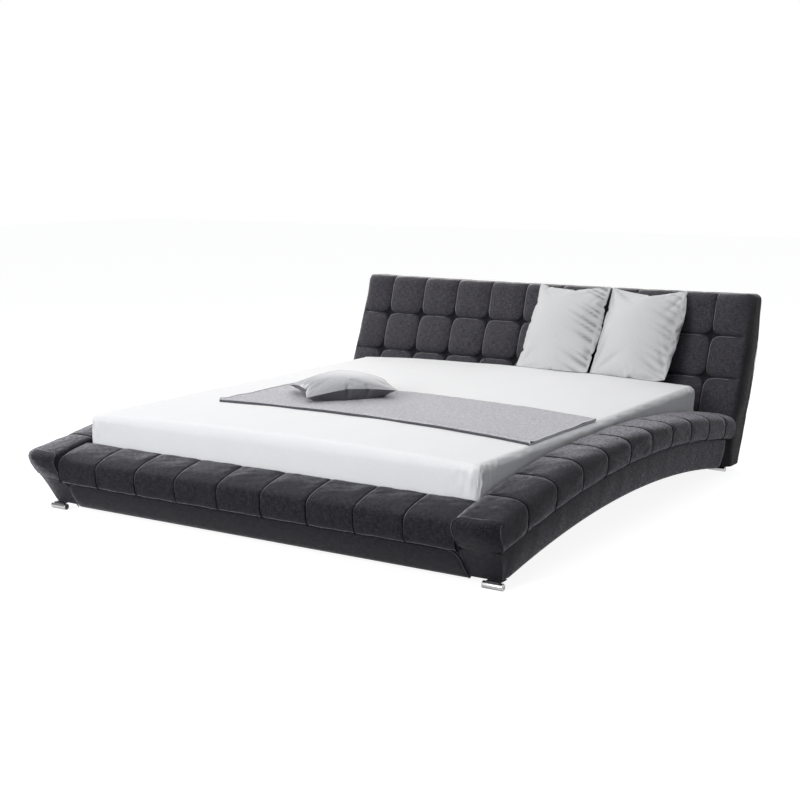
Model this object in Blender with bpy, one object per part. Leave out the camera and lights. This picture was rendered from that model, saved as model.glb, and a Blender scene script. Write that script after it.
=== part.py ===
"""Upholstered platform bed with arched side rails and a tufted headboard.

A channelled bolster runs round three sides of the frame and a reclined, biscuit-tufted
headboard closes the fourth. The frame stands on four chrome roller feet and two centre
legs, and it carries slats, a mattress in a fitted sheet, a runner and three cushions.

Metres, +Z up. The origin is on the floor in the middle of the bed. +Y points to the
head, and +X to the right of someone who stands at the foot.
"""
import math

import bmesh
import bpy
from mathutils import Matrix, Vector

# Fits
GAP = 0.0003
REST_GAP = 0.0006
OVERRUN = 0.02
MERGE_DISTANCE = 0.00003

# Mattress, sheet and the plan of the bed
MATTRESS_WIDTH = 1.800
MATTRESS_LENGTH = 2.000
MATTRESS_EDGE_HEIGHT = 0.187
MATTRESS_CROWN = 0.020
MATTRESS_CROWN_POWER = 2.5
MATTRESS_CUT_SHARES = (0.05, 0.12, 0.2, 0.3, 0.4, 0.5, 0.6, 0.7, 0.8, 0.88, 0.95)
MATTRESS_EDGE_RADIUS = 0.034
MATTRESS_SIDE_CLEARANCE = 0.007
SHEET_THICKNESS = 0.0012
SHEET_CLEARANCE = 0.0007
SHEET_HEM_REACH = 0.180
BOLSTER_REACH = 0.205
HEADBOARD_REACH = 0.372

OVERALL_LENGTH = BOLSTER_REACH + MATTRESS_LENGTH + HEADBOARD_REACH
FOOT_Y = BOLSTER_REACH - OVERALL_LENGTH / 2
HEAD_Y = FOOT_Y + MATTRESS_LENGTH
INNER_X = MATTRESS_WIDTH / 2 + MATTRESS_SIDE_CLEARANCE

# Heights
FOOT_HEIGHT = 0.0285
SLAT_TOP = 0.200
SLAT_THICKNESS = 0.015
SLAT_WIDTH = 0.070
SLAT_COUNT = 13
SLAT_FIRST_REACH = 0.100
SLAT_END_CLEARANCE = 0.006
SLAT_EDGE_RADIUS = 0.003

# Arched side rails
ARCH_RISE = 0.098
ARCH_SPAN_SHARE = 0.525
ARCH_SHIFT = -0.030
RAIL_BOTTOM_MIDDLE = 0.115
RAIL_CHANNELS = 9
RAIL_FIRST_SEAM = 0.0235
RAIL_LAST_SEAM = 0.091
RAIL_BOLSTER_WIDTH = 0.170
RAIL_BOLSTER_HEIGHT = 0.112
RAIL_SEAM_HEIGHT = 0.137
RAIL_NOTCH_HEIGHT = 0.033
RAIL_SEAM_SHARE = 0.81
RAIL_BOARD_OFFSET = 0.023
RAIL_BOARD_THICKNESS = 0.032
RAIL_BOARD_LIFT = 0.012
SKIRT_FOOT_WIDTH = 0.123
SKIRT_BELLY = 0.004
SKIRT_BELLY_SHARES = (0.4, 0.8)
PUFF = 0.005
PUFF_POWER = 2.6
END_PUFF_SHARE = 0.25
FOOT_LIFT = 0.008
FOOT_LIFT_TABLE_SHARES = (0.42, 0.16)
CHANNEL_SHARES = (0.12, 0.5, 0.88)
END_BLOCK_SHARES = (0.14, 0.51, 0.515, 0.75, 0.9)
END_STEP_SHARE = 0.515
HEAD_BLOCK_SHARES = (0.3, 0.7)

# Section of the bolsters, in shares of their width and height
INNER_SIDE_SHARE = 0.90
INNER_ROUND_SHARES = (0.035, 0.98)
CROWN_SHARE = 0.30
BELLY_SHARE = 0.42
END_BELLY_SHARE = 0.76
UNDER_BELLY_SHARES = (0.80, 0.43)
CROWN_POWER = 2.6

# End faces of the rails: share of the reach past the mattress, by share of the height
FOOT_END_SHARES = ((0.0, 0.70), (0.1, 0.74), (0.33, 0.83), (0.6, 0.917), (0.82, 0.966), (0.94, 0.927), (1.0, 0.81))
SKIRT_FOOT_REACH = 0.070
HEAD_END_REACH = 0.018
HEAD_END_SWEEP = 0.030
HEAD_END_ROUND = 0.060
HEAD_END_SHARES = ((0.0, 0.5), (0.2, 0.12), (0.45, 0.0), (0.65, 0.05), (0.86, 0.35), (1.0, 1.0))

# Footboard
FOOT_CHANNELS = 9
FOOT_SEAM_HEIGHT = 0.134
FOOT_BOLSTER_HEIGHT = 0.140
FOOT_BOLSTER_WIDTH = 0.165
FOOT_BOLSTER_FALL = 0.028
FOOT_SEAM_SHARE = 0.83
FOOT_NOTCH_SHARE = 0.39
FOOT_CROWN_SHARE = 0.10
FOOT_BELLY_SHARE = 0.50
FOOT_BOARD_OFFSET = 0.028
FOOT_BOARD_THICKNESS = 0.025
FOOT_BOARD_BOTTOM = 0.045
PLINTH_BOTTOM = 0.020
PLINTH_TOP_REACH = 0.138
PLINTH_BOTTOM_REACH = 0.072
PLINTH_BELLY = 0.006
PLINTH_END_INSET = 0.055
PLINTH_END_POWER = 2.2
PLINTH_LEVEL_SHARES = (0.0, 0.2, 0.4, 0.6, 0.75, 0.88, 1.0)
GUSSET_SETBACK = 0.004

# Headboard
HEADBOARD_SIDE_REACH = 0.161
HEADBOARD_HEIGHT = 0.792
HEADBOARD_STRAIGHT = 0.120
FRONT_LEAN = 0.258
FRONT_LEAN_POWER = 1.3
BACK_BOTTOM_REACH = 0.111
BACK_LEAN_POWER = 1.55
TUFT_COLUMNS = 11
TUFT_EDGE_WIDTH = 0.1788
TUFT_ROWS = 3
TUFT_FIRST_HEIGHT = 0.227
TUFT_TOP_DROP = 0.008
TUFT_BULGE = 0.026
TUFT_POWER = 2.4
TUFT_RIDGE_SHARE = 0.42
SIDE_WRAP = 0.072
SIDE_WRAP_WIDTH = 0.088
SIDE_COLUMN_SHARES = (0.12, 0.5, 0.68, 0.83, 0.94)
SIDE_WRAP_START = 0.140
SIDE_WRAP_FULL = 0.300
SIDE_ROUND = 0.006
TOP_ROUND = 0.012
TOP_ROLL = 0.022
TOP_SCALLOP = 0.009
TOP_SHARE = 0.3
PAD_THICKNESS = 0.030
PAD_DEPTH_SHARES = (0.3, 0.75)
PAD_RIM = 0.042
PAD_TOP_RIM = 0.050
PANEL_THICKNESS = 0.018
POST_SETBACK = 0.055
POST_WIDTH = 0.075
BACK_COVER_THICKNESS = 0.005
TOP_RAIL_DROP = 0.007
TOP_RAIL_HEIGHT = 0.040
BOTTOM_RAIL_LIFT = 0.0115
BOTTOM_RAIL_HEIGHT = 0.078

# Ledgers, centre beam and legs
LEDGER_WIDTH = 0.030
LEDGER_HEIGHT = 0.030
LEDGER_END_CLEARANCE = 0.006
BEAM_WIDTH = 0.040
BEAM_HEIGHT = 0.030
BEAM_EDGE_RADIUS = 0.002
HANGER_THICKNESS = 0.003
HANGER_WIDTH = 0.070
HANGER_DROP = 0.060
HANGER_SEAT = 0.045
LEG_PLACE_SHARES = (0.305, 0.695)
LEG_RADIUS = 0.016
LEG_BOTTOM = 0.028
LEG_FLANGE_RADIUS = 0.032
LEG_FLANGE_THICKNESS = 0.003
LEG_BORE_RADIUS = 0.0048
LEG_BORE_DEPTH = 0.045
GLIDE_RADIUS = 0.020
GLIDE_RIM_HEIGHT = 0.004
GLIDE_HEIGHT = 0.010
GLIDE_STEM_RADIUS = 0.0045
GLIDE_STEM_TOP = 0.050
GLIDE_SHOULDER_SHARE = 0.4

# Corner brackets and bolts
BRACKET_THICKNESS = 0.004
BRACKET_LEG = 0.058
BRACKET_BOTTOM = 0.055
BRACKET_HEIGHT = 0.080
BRACKET_EDGE_RADIUS = 0.0008
BOLT_RADIUS = 0.003
BOLT_HEAD_RADIUS = 0.007
BOLT_HEAD_HEIGHT = 0.004
BOLT_DOME_SHARE = 0.6
BOLT_LENGTH = 0.022
BOLT_SEAT = 0.001
BOLT_RISES = (0.017, 0.063)
BOLT_INSET = 0.034
BOLT_SIDES = 8

# Chrome feet
ROLLER_RADIUS = 0.013
ROLLER_LENGTH = 0.077
ROLLER_SIDES = 16
ROLLER_INSET = 0.029
ROLLER_EDGE_RADIUS = 0.0012
FRONT_ROLLER_REACH = 0.080
REAR_ROLLER_REACH = 0.030
FOOT_PLATE_THICKNESS = 0.0034
FOOT_PLATE_LENGTH = 0.046
FOOT_PLATE_WIDTH = 0.054
FOOT_WEB_WIDTH = 0.012
PLUG_RADIUS = 0.010
PLUG_PROUD = 0.0015

# Runner and cushions
RUNNER_LEFT = -0.600
RUNNER_RIGHT = 0.880
RUNNER_NEAR = 0.455
RUNNER_FAR = 1.015
RUNNER_THICKNESS = 0.005
RUNNER_HEM_THICKNESS = 0.011
RUNNER_SKEW = 0.045
RUNNER_STRAIGHT_SHARE = 0.5
RUNNER_COLUMNS = 12
RUNNER_CUT_SHARES = (0.05, 0.11, 0.35, 0.6, 0.8)
CUSHION_SIZE = 0.372
CUSHION_THICKNESS = 0.125
CUSHION_X = -0.214
CUSHION_REACH = 0.800
CUSHION_TURN = math.radians(57.0)
CUSHION_FLAT_SHARE = 0.30
CUSHION_CROWN_RISE = 0.0006
PILLOW_WIDTH = 0.378
PILLOW_HEIGHT = 0.450
PILLOW_THICKNESS = 0.120
PILLOW_PLACES = (0.188, 0.578)
PILLOW_FOOT_REACH = -0.0245
PILLOW_FOOT_DROP = 0.0021
PILLOW_LEAN = math.radians(32.0)
CUSHION_SEAM = 0.006
CUSHION_DRAW = 0.014
CUSHION_POWER = 2.4
CUSHION_FULLNESS = 0.55
CUSHION_CUT_SHARES = (0.04, 0.12, 0.25, 0.4, 0.6, 0.75, 0.88, 0.96)

SHARP_ANGLE = math.radians(40.0)


def clear_scene():
    """Remove every object that the scene starts with."""
    for item in list(bpy.data.objects):
        bpy.data.objects.remove(item, do_unlink=True)


def make_material(name, colour, roughness, metallic=0.0):
    """Return a Principled material with one colour, roughness and metallic value."""
    material = bpy.data.materials.new(name)
    material.use_nodes = True
    shader = material.node_tree.nodes["Principled BSDF"]
    shader.inputs["Base Color"].default_value = (*colour, 1.0)
    shader.inputs["Roughness"].default_value = roughness
    shader.inputs["Metallic"].default_value = metallic
    return material


def add_object(name, bm, material, smooth=True):
    """Turn a bmesh into a named object with outward faces and one material."""
    bmesh.ops.recalc_face_normals(bm, faces=bm.faces)
    mesh = bpy.data.meshes.new(name)
    bm.to_mesh(mesh)
    bm.free()
    if smooth:
        mesh.shade_smooth()
        mesh.set_sharp_from_angle(angle=SHARP_ANGLE)
    mesh.materials.append(material)
    made = bpy.data.objects.new(name, mesh)
    bpy.context.scene.collection.objects.link(made)
    return made


def make_cutter(name, bm):
    """Turn a bmesh into a hidden wire object for a Boolean."""
    bmesh.ops.recalc_face_normals(bm, faces=bm.faces)
    mesh = bpy.data.meshes.new(name)
    bm.to_mesh(mesh)
    bm.free()
    cutter = bpy.data.objects.new(name, mesh)
    bpy.context.scene.collection.objects.link(cutter)
    cutter.hide_render = True
    cutter.display_type = "WIRE"
    return cutter


def combine(target, tool, operation):
    """Add a Boolean of the given kind to a piece."""
    step = target.modifiers.new(tool.name, "BOOLEAN")
    step.operation = operation
    step.solver = "EXACT"
    step.object = tool


def round_edges(target, width, segments=1):
    """Bevel the sharp edges of a piece."""
    step = target.modifiers.new("round", "BEVEL")
    step.width = width
    step.segments = segments
    step.limit_method = "ANGLE"
    step.angle_limit = SHARP_ANGLE


def loft(rings, flat_ends=False):
    """Skin a closed body through rings of equal length, capped in strips or flat."""
    bm = bmesh.new()
    add_rings(bm, rings, flat_ends)
    return bm


def add_rings(bm, rings, flat_ends=True):
    """Skin one closed body through rings inside a bmesh, capped flat or in strips."""
    rows = [[bm.verts.new(point) for point in ring] for ring in rings]
    count = len(rows[0])
    for first, second in zip(rows, rows[1:]):
        for index in range(count):
            after = (index + 1) % count
            bm.faces.new((first[index], first[after], second[after], second[index]))
    for row in (rows[0], rows[-1]):
        if flat_ends:
            bm.faces.new(row)
        else:
            cap_strips(bm, row)


def cap_strips(bm, row):
    """Close a ring with strips between its first half and its last half, read backwards."""
    last = len(row) - 1
    for index in range(len(row) // 2 - 1):
        bm.faces.new((row[index], row[index + 1], row[last - index - 1], row[last - index]))


def grid_block(cuts, place):
    """Cut a unit cube at the given shares of each axis and move its points by a rule."""
    bm = bmesh.new()
    bmesh.ops.create_cube(bm, size=1.0, matrix=Matrix.Translation((0.5, 0.5, 0.5)))
    for axis, shares in enumerate(cuts):
        normal = Vector((0.0, 0.0, 0.0))
        normal[axis] = 1.0
        for share in shares:
            everything = bm.verts[:] + bm.edges[:] + bm.faces[:]
            bmesh.ops.bisect_plane(bm, geom=everything, plane_co=normal * share, plane_no=normal)
    for vertex in bm.verts:
        vertex.co = place(*vertex.co)
    return bm


def add_box(bm, low, high):
    """Add a box between two corners to a bmesh."""
    low = Vector(low)
    high = Vector(high)
    middle = Matrix.Translation((low + high) / 2)
    scale = Matrix.Diagonal((*(high - low), 1.0))
    bmesh.ops.create_cube(bm, size=1.0, matrix=middle @ scale)


def box_object(name, low, high, material, radius=0.0):
    """Make a box piece, with bevelled edges if a radius is given."""
    bm = bmesh.new()
    add_box(bm, low, high)
    made = add_object(name, bm, material)
    if radius:
        round_edges(made, radius)
    return made


def add_cylinder(bm, centre, axis, radius, depth, sides):
    """Add a cylinder whose middle is at a point, along a direction, to a bmesh."""
    turn = Vector((0.0, 0.0, 1.0)).rotation_difference(Vector(axis)).to_matrix().to_4x4()
    spin = Matrix.Rotation(math.pi / sides, 4, "Z")
    bmesh.ops.create_cone(
        bm, cap_ends=True, segments=sides, radius1=radius, radius2=radius, depth=depth,
        matrix=Matrix.Translation(centre) @ turn @ spin)


def turned_object(name, profile, centre, material, sides):
    """Spin an outline of (radius, height) points round a vertical axis."""
    bm = bmesh.new()
    vertices = [bm.verts.new((radius, 0.0, height)) for radius, height in profile]
    edges = [bm.edges.new(pair) for pair in zip(vertices, vertices[1:])]
    bmesh.ops.spin(
        bm, geom=vertices + edges, cent=(0.0, 0.0, 0.0), axis=(0.0, 0.0, 1.0),
        angle=math.tau, steps=sides)
    bmesh.ops.remove_doubles(bm, verts=bm.verts, dist=MERGE_DISTANCE)
    made = add_object(name, bm, material)
    made.location = centre
    return made


def between(table, value):
    """Read a value from a table of (place, value) pairs, straight between the pairs."""
    if value <= table[0][0]:
        return table[0][1]
    for (low, first), (high, second) in zip(table, table[1:]):
        if value <= high:
            return first + (second - first) * (value - low) / (high - low)
    return table[-1][1]


def mix(first, second, share):
    """Return the value a share of the way from the first to the second."""
    return first + (second - first) * share


def puff_at(share):
    """Return how full a channel is at a share of its width, 0 at its seams."""
    return 1.0 - abs(2.0 * share - 1.0) ** PUFF_POWER


def bolster_outline(seam_share, board_share, notch_share, belly_share=BELLY_SHARE, crown_share=CROWN_SHARE):
    """Return a bolster's section as (width share, height share) points.

    It starts at the lower seam, goes inwards under the foam, steps up over the board,
    climbs the inner side, and comes back over the crown, the shoulder and the belly.
    """
    points = [
        (seam_share, 0.0), (board_share, 0.0), (board_share, notch_share), (0.0, notch_share),
        (0.0, INNER_SIDE_SHARE), INNER_ROUND_SHARES, (crown_share, 1.0)]
    for quarter in range(1, 5):
        angle = quarter * math.pi / 8
        across = math.sin(angle) ** (2 / CROWN_POWER)
        up = max(0.0, math.cos(angle)) ** (2 / CROWN_POWER)
        points.append((mix(crown_share, 1.0, across), mix(belly_share, 1.0, up)))
    under_across, under_up = UNDER_BELLY_SHARES
    points.append((mix(seam_share, 1.0, under_across), belly_share * under_up))
    return points


def fullness(across, up, belly_share=BELLY_SHARE, crown_share=CROWN_SHARE):
    """Return how far the padding's swell moves a point outwards and upwards."""
    outwards = max(0.0, across - crown_share) / (1.0 - crown_share)
    upwards = max(0.0, up - belly_share) / (1.0 - belly_share)
    return outwards * min(1.0, up / belly_share), upwards


# The arch of the side rails

ARCH_MIDDLE_Y = (FOOT_Y + HEAD_Y) / 2 + ARCH_SHIFT
ARCH_HALF_SPAN = ARCH_SPAN_SHARE * MATTRESS_LENGTH
RAIL_SEAM_START = FOOT_Y + RAIL_FIRST_SEAM
RAIL_SEAM_END = HEAD_Y - RAIL_LAST_SEAM
RAIL_SEAMS = [
    mix(RAIL_SEAM_START, RAIL_SEAM_END, index / RAIL_CHANNELS) for index in range(RAIL_CHANNELS + 1)]
RAIL_KNOTS = [FOOT_Y - BOLSTER_REACH, *RAIL_SEAMS, HEAD_Y + HEADBOARD_REACH]
ARCH_TABLE = [(y, ARCH_RISE * ((y - ARCH_MIDDLE_Y) / ARCH_HALF_SPAN) ** 2) for y in RAIL_KNOTS]

# The padding grows taller towards the foot
LIFT_END, LIFT_START = (ARCH_MIDDLE_Y - share * MATTRESS_LENGTH for share in FOOT_LIFT_TABLE_SHARES)
FOOT_LIFT_TABLE = ((LIFT_END, FOOT_LIFT), (LIFT_START, 0.0))

BOARD_INNER_X = INNER_X + RAIL_BOARD_OFFSET
BOARD_OUTER_X = BOARD_INNER_X + RAIL_BOARD_THICKNESS
FOOT_BOARD_BACK_Y = FOOT_Y - MATTRESS_SIDE_CLEARANCE - FOOT_BOARD_OFFSET
FOOT_BOARD_FRONT_Y = FOOT_BOARD_BACK_Y - FOOT_BOARD_THICKNESS
RAIL_BOARD_TOP = RAIL_SEAM_HEIGHT + RAIL_NOTCH_HEIGHT - GAP
FOOT_BOARD_TOP = FOOT_SEAM_HEIGHT + FOOT_NOTCH_SHARE * FOOT_BOLSTER_HEIGHT - GAP
LEDGER_TOP = SLAT_TOP - SLAT_THICKNESS - GAP


def rail_bottom(y):
    """Return the height of the arch's lower edge at a place along the rail."""
    return RAIL_BOTTOM_MIDDLE - between(ARCH_TABLE, y)


def rail_bolster_ring(side, end_y, share, puff, notched, flare=0.0):
    """Return one section of a rail's bolster.

    Each point lies a share of the way from the seam at end_y[0] to its own place on the
    end face, which end_y[1] gives for its width and height shares. Flare raises the belly
    towards the foot.
    """
    seam_y, end_rule = end_y
    notch = RAIL_NOTCH_HEIGHT / RAIL_BOLSTER_HEIGHT if notched else 0.0
    board = (BOARD_OUTER_X + GAP - INNER_X) / RAIL_BOLSTER_WIDTH
    belly = mix(BELLY_SHARE, END_BELLY_SHARE, flare)
    ring = []
    for index, (across, up) in enumerate(bolster_outline(RAIL_SEAM_SHARE, board, notch, belly)):
        y = mix(seam_y, end_rule(across, up), share)
        outwards, upwards = fullness(across, up)
        x = INNER_X + across * RAIL_BOLSTER_WIDTH + PUFF * puff * outwards
        height = RAIL_BOLSTER_HEIGHT + between(FOOT_LIFT_TABLE, y) * upwards
        lift = RAIL_SEAM_HEIGHT + up * height + PUFF * puff * upwards
        if index in (2, 3) and not notched:
            lift += GAP * (index - 1)
            x -= GAP * (3 - index)
        ring.append(Vector((side * x, y, lift + rail_bottom(y))))
    return ring


def foot_end_y(across, up):
    """Return where the rail's foot end face lies at a height share of the bolster."""
    return FOOT_Y - BOLSTER_REACH * between(FOOT_END_SHARES, up)


def head_end_y(across, up):
    """Return where the rail bolster's rounded head end lies."""
    reach = HEAD_END_REACH + HEAD_END_SWEEP * across ** 2
    return HEAD_Y + reach - HEAD_END_ROUND * between(HEAD_END_SHARES, up)


def rail_bolster(side, name, material):
    """Make the channelled, arched bolster on top of a side rail."""
    foot_end = (RAIL_SEAMS[0], foot_end_y)
    head_end = (RAIL_SEAMS[-1], head_end_y)
    rings = [rail_bolster_ring(side, foot_end, 1.0, END_PUFF_SHARE, False, 1.0)]
    for share in reversed(END_BLOCK_SHARES):
        notched = share < END_STEP_SHARE
        puff = max(puff_at(share), END_PUFF_SHARE if share > END_STEP_SHARE else 0.0)
        rings.append(rail_bolster_ring(side, foot_end, share, puff, notched, share ** 2))
    for low, high in zip(RAIL_SEAMS, RAIL_SEAMS[1:]):
        for share in (0.0, *CHANNEL_SHARES):
            place = (mix(low, high, share), lambda across, up: 0.0)
            rings.append(rail_bolster_ring(side, place, 0.0, puff_at(share), True))
    rings.append(rail_bolster_ring(side, head_end, 0.0, 0.0, True))
    for share in HEAD_BLOCK_SHARES:
        rings.append(rail_bolster_ring(side, head_end, share, puff_at(share / 2), True))
    rings.append(rail_bolster_ring(side, head_end, 1.0, puff_at(END_PUFF_SHARE), True))
    return add_object(name, loft(rings), material)


def rail_skirt_ring(side, top_y, bottom_y, inner_x):
    """Return one section of a rail's lower panel, leaning to its own y at each height."""
    seam_x = INNER_X + RAIL_SEAM_SHARE * RAIL_BOLSTER_WIDTH
    foot_x = INNER_X + SKIRT_FOOT_WIDTH
    top = RAIL_SEAM_HEIGHT - GAP
    ring = []
    belly = [(mix(foot_x, seam_x, share) + SKIRT_BELLY, share) for share in SKIRT_BELLY_SHARES]
    outline = ((inner_x, 1.0), (inner_x, 0.0), (foot_x, 0.0), *belly, (seam_x, 1.0))
    for x, up in outline:
        y = mix(bottom_y, top_y, up)
        low = max(rail_bottom(y), FOOT_HEIGHT)
        high = rail_bottom(y) + top
        ring.append(Vector((side * x, y, mix(low, high, up))))
    return ring


def rail_skirt(side, name, material):
    """Make a rail's padded lower panel, with its undercut block at the foot end."""
    top_foot = foot_end_y(0.0, 0.0)
    bottom_foot = FOOT_Y - SKIRT_FOOT_REACH
    step_y = FOOT_BOARD_FRONT_Y - GAP
    board_x = BOARD_OUTER_X + GAP
    flat_reach = ARCH_HALF_SPAN * math.sqrt((RAIL_BOTTOM_MIDDLE - FOOT_HEIGHT) / ARCH_RISE)
    flat_y = (ARCH_MIDDLE_Y - flat_reach, ARCH_MIDDLE_Y + flat_reach)
    lifted = [y for y in RAIL_SEAMS if flat_y[0] < y < flat_y[1]]
    places = sorted([*lifted, *[y for y in flat_y if step_y < y < HEAD_Y]])
    rings = [
        rail_skirt_ring(side, top_foot, bottom_foot, INNER_X),
        rail_skirt_ring(side, step_y - GAP, step_y - GAP, INNER_X),
        rail_skirt_ring(side, step_y, step_y, board_x)]
    for y in places:
        rings.append(rail_skirt_ring(side, y, y, board_x))
    rings.append(rail_skirt_ring(side, HEAD_Y, HEAD_Y, board_x))
    return add_object(name, loft(rings), material)


def rail_board(side, name, material):
    """Make the load-bearing timber board inside a side rail, with its arched edge."""
    rings = []
    for y in (FOOT_BOARD_FRONT_Y, *RAIL_SEAMS, HEAD_Y):
        low = max(rail_bottom(y) + RAIL_BOARD_LIFT, FOOT_HEIGHT + RAIL_BOARD_LIFT)
        high = rail_bottom(y) + RAIL_BOARD_TOP
        corners = ((BOARD_INNER_X, low), (BOARD_OUTER_X, low), (BOARD_OUTER_X, high), (BOARD_INNER_X, high))
        rings.append([Vector((side * x, y, z)) for x, z in corners])
    return add_object(name, loft(rings), material)


def foot_bolster_ring(x, puff):
    """Return one section of the footboard's bolster."""
    back_y = FOOT_Y - MATTRESS_SIDE_CLEARANCE
    board = (back_y - FOOT_BOARD_FRONT_Y + GAP) / FOOT_BOLSTER_WIDTH
    ring = []
    outline = bolster_outline(FOOT_SEAM_SHARE, board, FOOT_NOTCH_SHARE, FOOT_BELLY_SHARE, FOOT_CROWN_SHARE)
    for across, up in outline:
        outwards, upwards = fullness(across, up, FOOT_BELLY_SHARE, FOOT_CROWN_SHARE)
        y = back_y - across * FOOT_BOLSTER_WIDTH - PUFF * puff * outwards
        z = FOOT_SEAM_HEIGHT + up * FOOT_BOLSTER_HEIGHT + PUFF * puff * upwards
        z -= FOOT_BOLSTER_FALL * across * upwards
        ring.append(Vector((x, y, z)))
    return ring


def foot_bolster(material):
    """Make the channelled bolster across the foot."""
    half = INNER_X - GAP
    rings = []
    for channel in range(FOOT_CHANNELS):
        for share in (0.0, *CHANNEL_SHARES):
            x = mix(-half, half, (channel + share) / FOOT_CHANNELS)
            rings.append(foot_bolster_ring(x, puff_at(share)))
    rings.append(foot_bolster_ring(half, 0.0))
    return add_object("foot_bolster", loft(rings), material)


def plinth_front(share):
    """Return the y of the plinth's face at a share of its height."""
    belly = PLINTH_BELLY * math.sin(math.pi * share)
    return FOOT_Y - mix(PLINTH_BOTTOM_REACH, PLINTH_TOP_REACH, share) - belly


def plinth_end(share):
    """Return the half length of the plinth, whose ends sweep out towards the floor."""
    return INNER_X - GAP - PLINTH_END_INSET * share ** PLINTH_END_POWER


def plinth_levels():
    """Yield the shares and heights of the plinth's sections."""
    top = FOOT_SEAM_HEIGHT - GAP
    for share in PLINTH_LEVEL_SHARES:
        yield share, mix(PLINTH_BOTTOM, top, share)


def foot_plinth(material):
    """Make the undercut plinth panel below the foot bolster."""
    rings = []
    back = FOOT_BOARD_FRONT_Y - GAP
    for share, z in plinth_levels():
        end = plinth_end(share) - GAP
        front = plinth_front(share)
        corners = ((-end, back), (end, back), (end, front), (-end, front))
        rings.append([Vector((x, y, z)) for x, y in corners])
    return add_object("foot_plinth", loft(rings), material)


def foot_gusset(side, name, material):
    """Make the tapered fabric gusset between the plinth and a rail's end."""
    rings = []
    back = FOOT_BOARD_FRONT_Y - GAP
    for share, z in plinth_levels():
        near = plinth_end(share)
        far = INNER_X - GAP
        front = plinth_front(share) + GUSSET_SETBACK
        corners = ((near, back), (far, back), (far, front), (near, front))
        if share > 0.0:
            rings.append([Vector((side * x, y, z)) for x, y in corners])
    return add_object(name, loft(rings), material)


def foot_board(material):
    """Make the timber board inside the footboard."""
    half = BOARD_INNER_X - GAP
    low = (-half, FOOT_BOARD_FRONT_Y, FOOT_BOARD_BOTTOM)
    high = (half, FOOT_BOARD_BACK_Y, FOOT_BOARD_TOP)
    return box_object("foot_board", low, high, material)


# The reclined headboard

HEAD_BACK_LEAN = HEADBOARD_REACH - BACK_BOTTOM_REACH
HEADBOARD_HALF_WIDTH = INNER_X + HEADBOARD_SIDE_REACH
TUFT_HALF = HEADBOARD_HALF_WIDTH - TUFT_EDGE_WIDTH
TUFT_PITCH = 2 * TUFT_HALF / (TUFT_COLUMNS - 2)
TUFT_TOP_HEIGHT = HEADBOARD_HEIGHT - TUFT_TOP_DROP
TUFT_HEIGHTS = [mix(TUFT_FIRST_HEIGHT, TUFT_TOP_HEIGHT, row / TUFT_ROWS) for row in range(TUFT_ROWS + 1)]
HEAD_ROWS = (FOOT_HEIGHT, *TUFT_HEIGHTS)


def head_knots():
    """Return the heights at which the headboard's curve has a bend."""
    heights = []
    for low, high in zip(HEAD_ROWS, HEAD_ROWS[1:]):
        heights.extend((low, mix(low, high, 0.5)))
    heights.extend((HEAD_ROWS[-1], HEADBOARD_HEIGHT))
    return sorted({*heights, HEADBOARD_STRAIGHT})


def front_curve(z):
    """Return the y of the tufted face's seams at a height."""
    share = max(0.0, z - HEADBOARD_STRAIGHT) / (HEADBOARD_HEIGHT - HEADBOARD_STRAIGHT)
    lean = 1.0 - (1.0 - min(1.0, share)) ** FRONT_LEAN_POWER
    return HEAD_Y + GAP + FRONT_LEAN * lean


def back_curve(z):
    """Return the y of the headboard's back at a height."""
    share = min(1.0, z / HEADBOARD_HEIGHT)
    return HEAD_Y + BACK_BOTTOM_REACH + HEAD_BACK_LEAN * (1.0 - (1.0 - share) ** BACK_LEAN_POWER)


FRONT_TABLE = [(z, front_curve(z)) for z in head_knots()]
BACK_TABLE = [(z, back_curve(z)) for z in head_knots()]
POCKET_HALF = HEADBOARD_HALF_WIDTH - PAD_RIM
PANEL_HALF = POCKET_HALF - POST_WIDTH - 2 * GAP


def wrap_at(x, z):
    """Return how far the face has rolled back at a width and a height."""
    rise = (z - SIDE_WRAP_START) / (SIDE_WRAP_FULL - SIDE_WRAP_START)
    rise = min(1.0, max(0.0, rise))
    out = max(0.0, abs(x) - HEADBOARD_HALF_WIDTH + SIDE_WRAP_WIDTH) / SIDE_WRAP_WIDTH
    return SIDE_WRAP * rise * (1.0 - math.sqrt(max(0.0, 1.0 - out * out)))


def swell(share):
    """Return the fullness of a tuft at a share of its width or height."""
    return 1.0 - abs(2.0 * share - 1.0) ** TUFT_POWER


def column_swell(x):
    """Return the fullness of the column of tufts at a width."""
    if abs(x) <= TUFT_HALF:
        return swell((abs(x) + TUFT_PITCH / 2) / TUFT_PITCH % 1.0)
    out = (abs(x) - TUFT_HALF) / (HEADBOARD_HALF_WIDTH - TUFT_HALF)
    return swell(min(out, 0.5))


def tuft_bulge(x, z):
    """Return how far the tufted face stands out at a width and a height."""
    if z <= HEAD_ROWS[1]:
        return 0.0
    across = column_swell(x)
    if z >= HEAD_ROWS[-1]:
        up = swell(TOP_SHARE / 2)
    else:
        row = next(index for index in range(1, len(HEAD_ROWS)) if z <= HEAD_ROWS[index])
        low = HEAD_ROWS[row - 1]
        share = (z - low) / (HEAD_ROWS[row] - low)
        if row == len(HEAD_ROWS) - 1:
            share *= 1.0 - TOP_SHARE / 2
        up = swell(share)
    ridge = 1.0 - (1.0 - across) * (1.0 - up)
    return TUFT_BULGE * mix(across * up, ridge, TUFT_RIDGE_SHARE)


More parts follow.
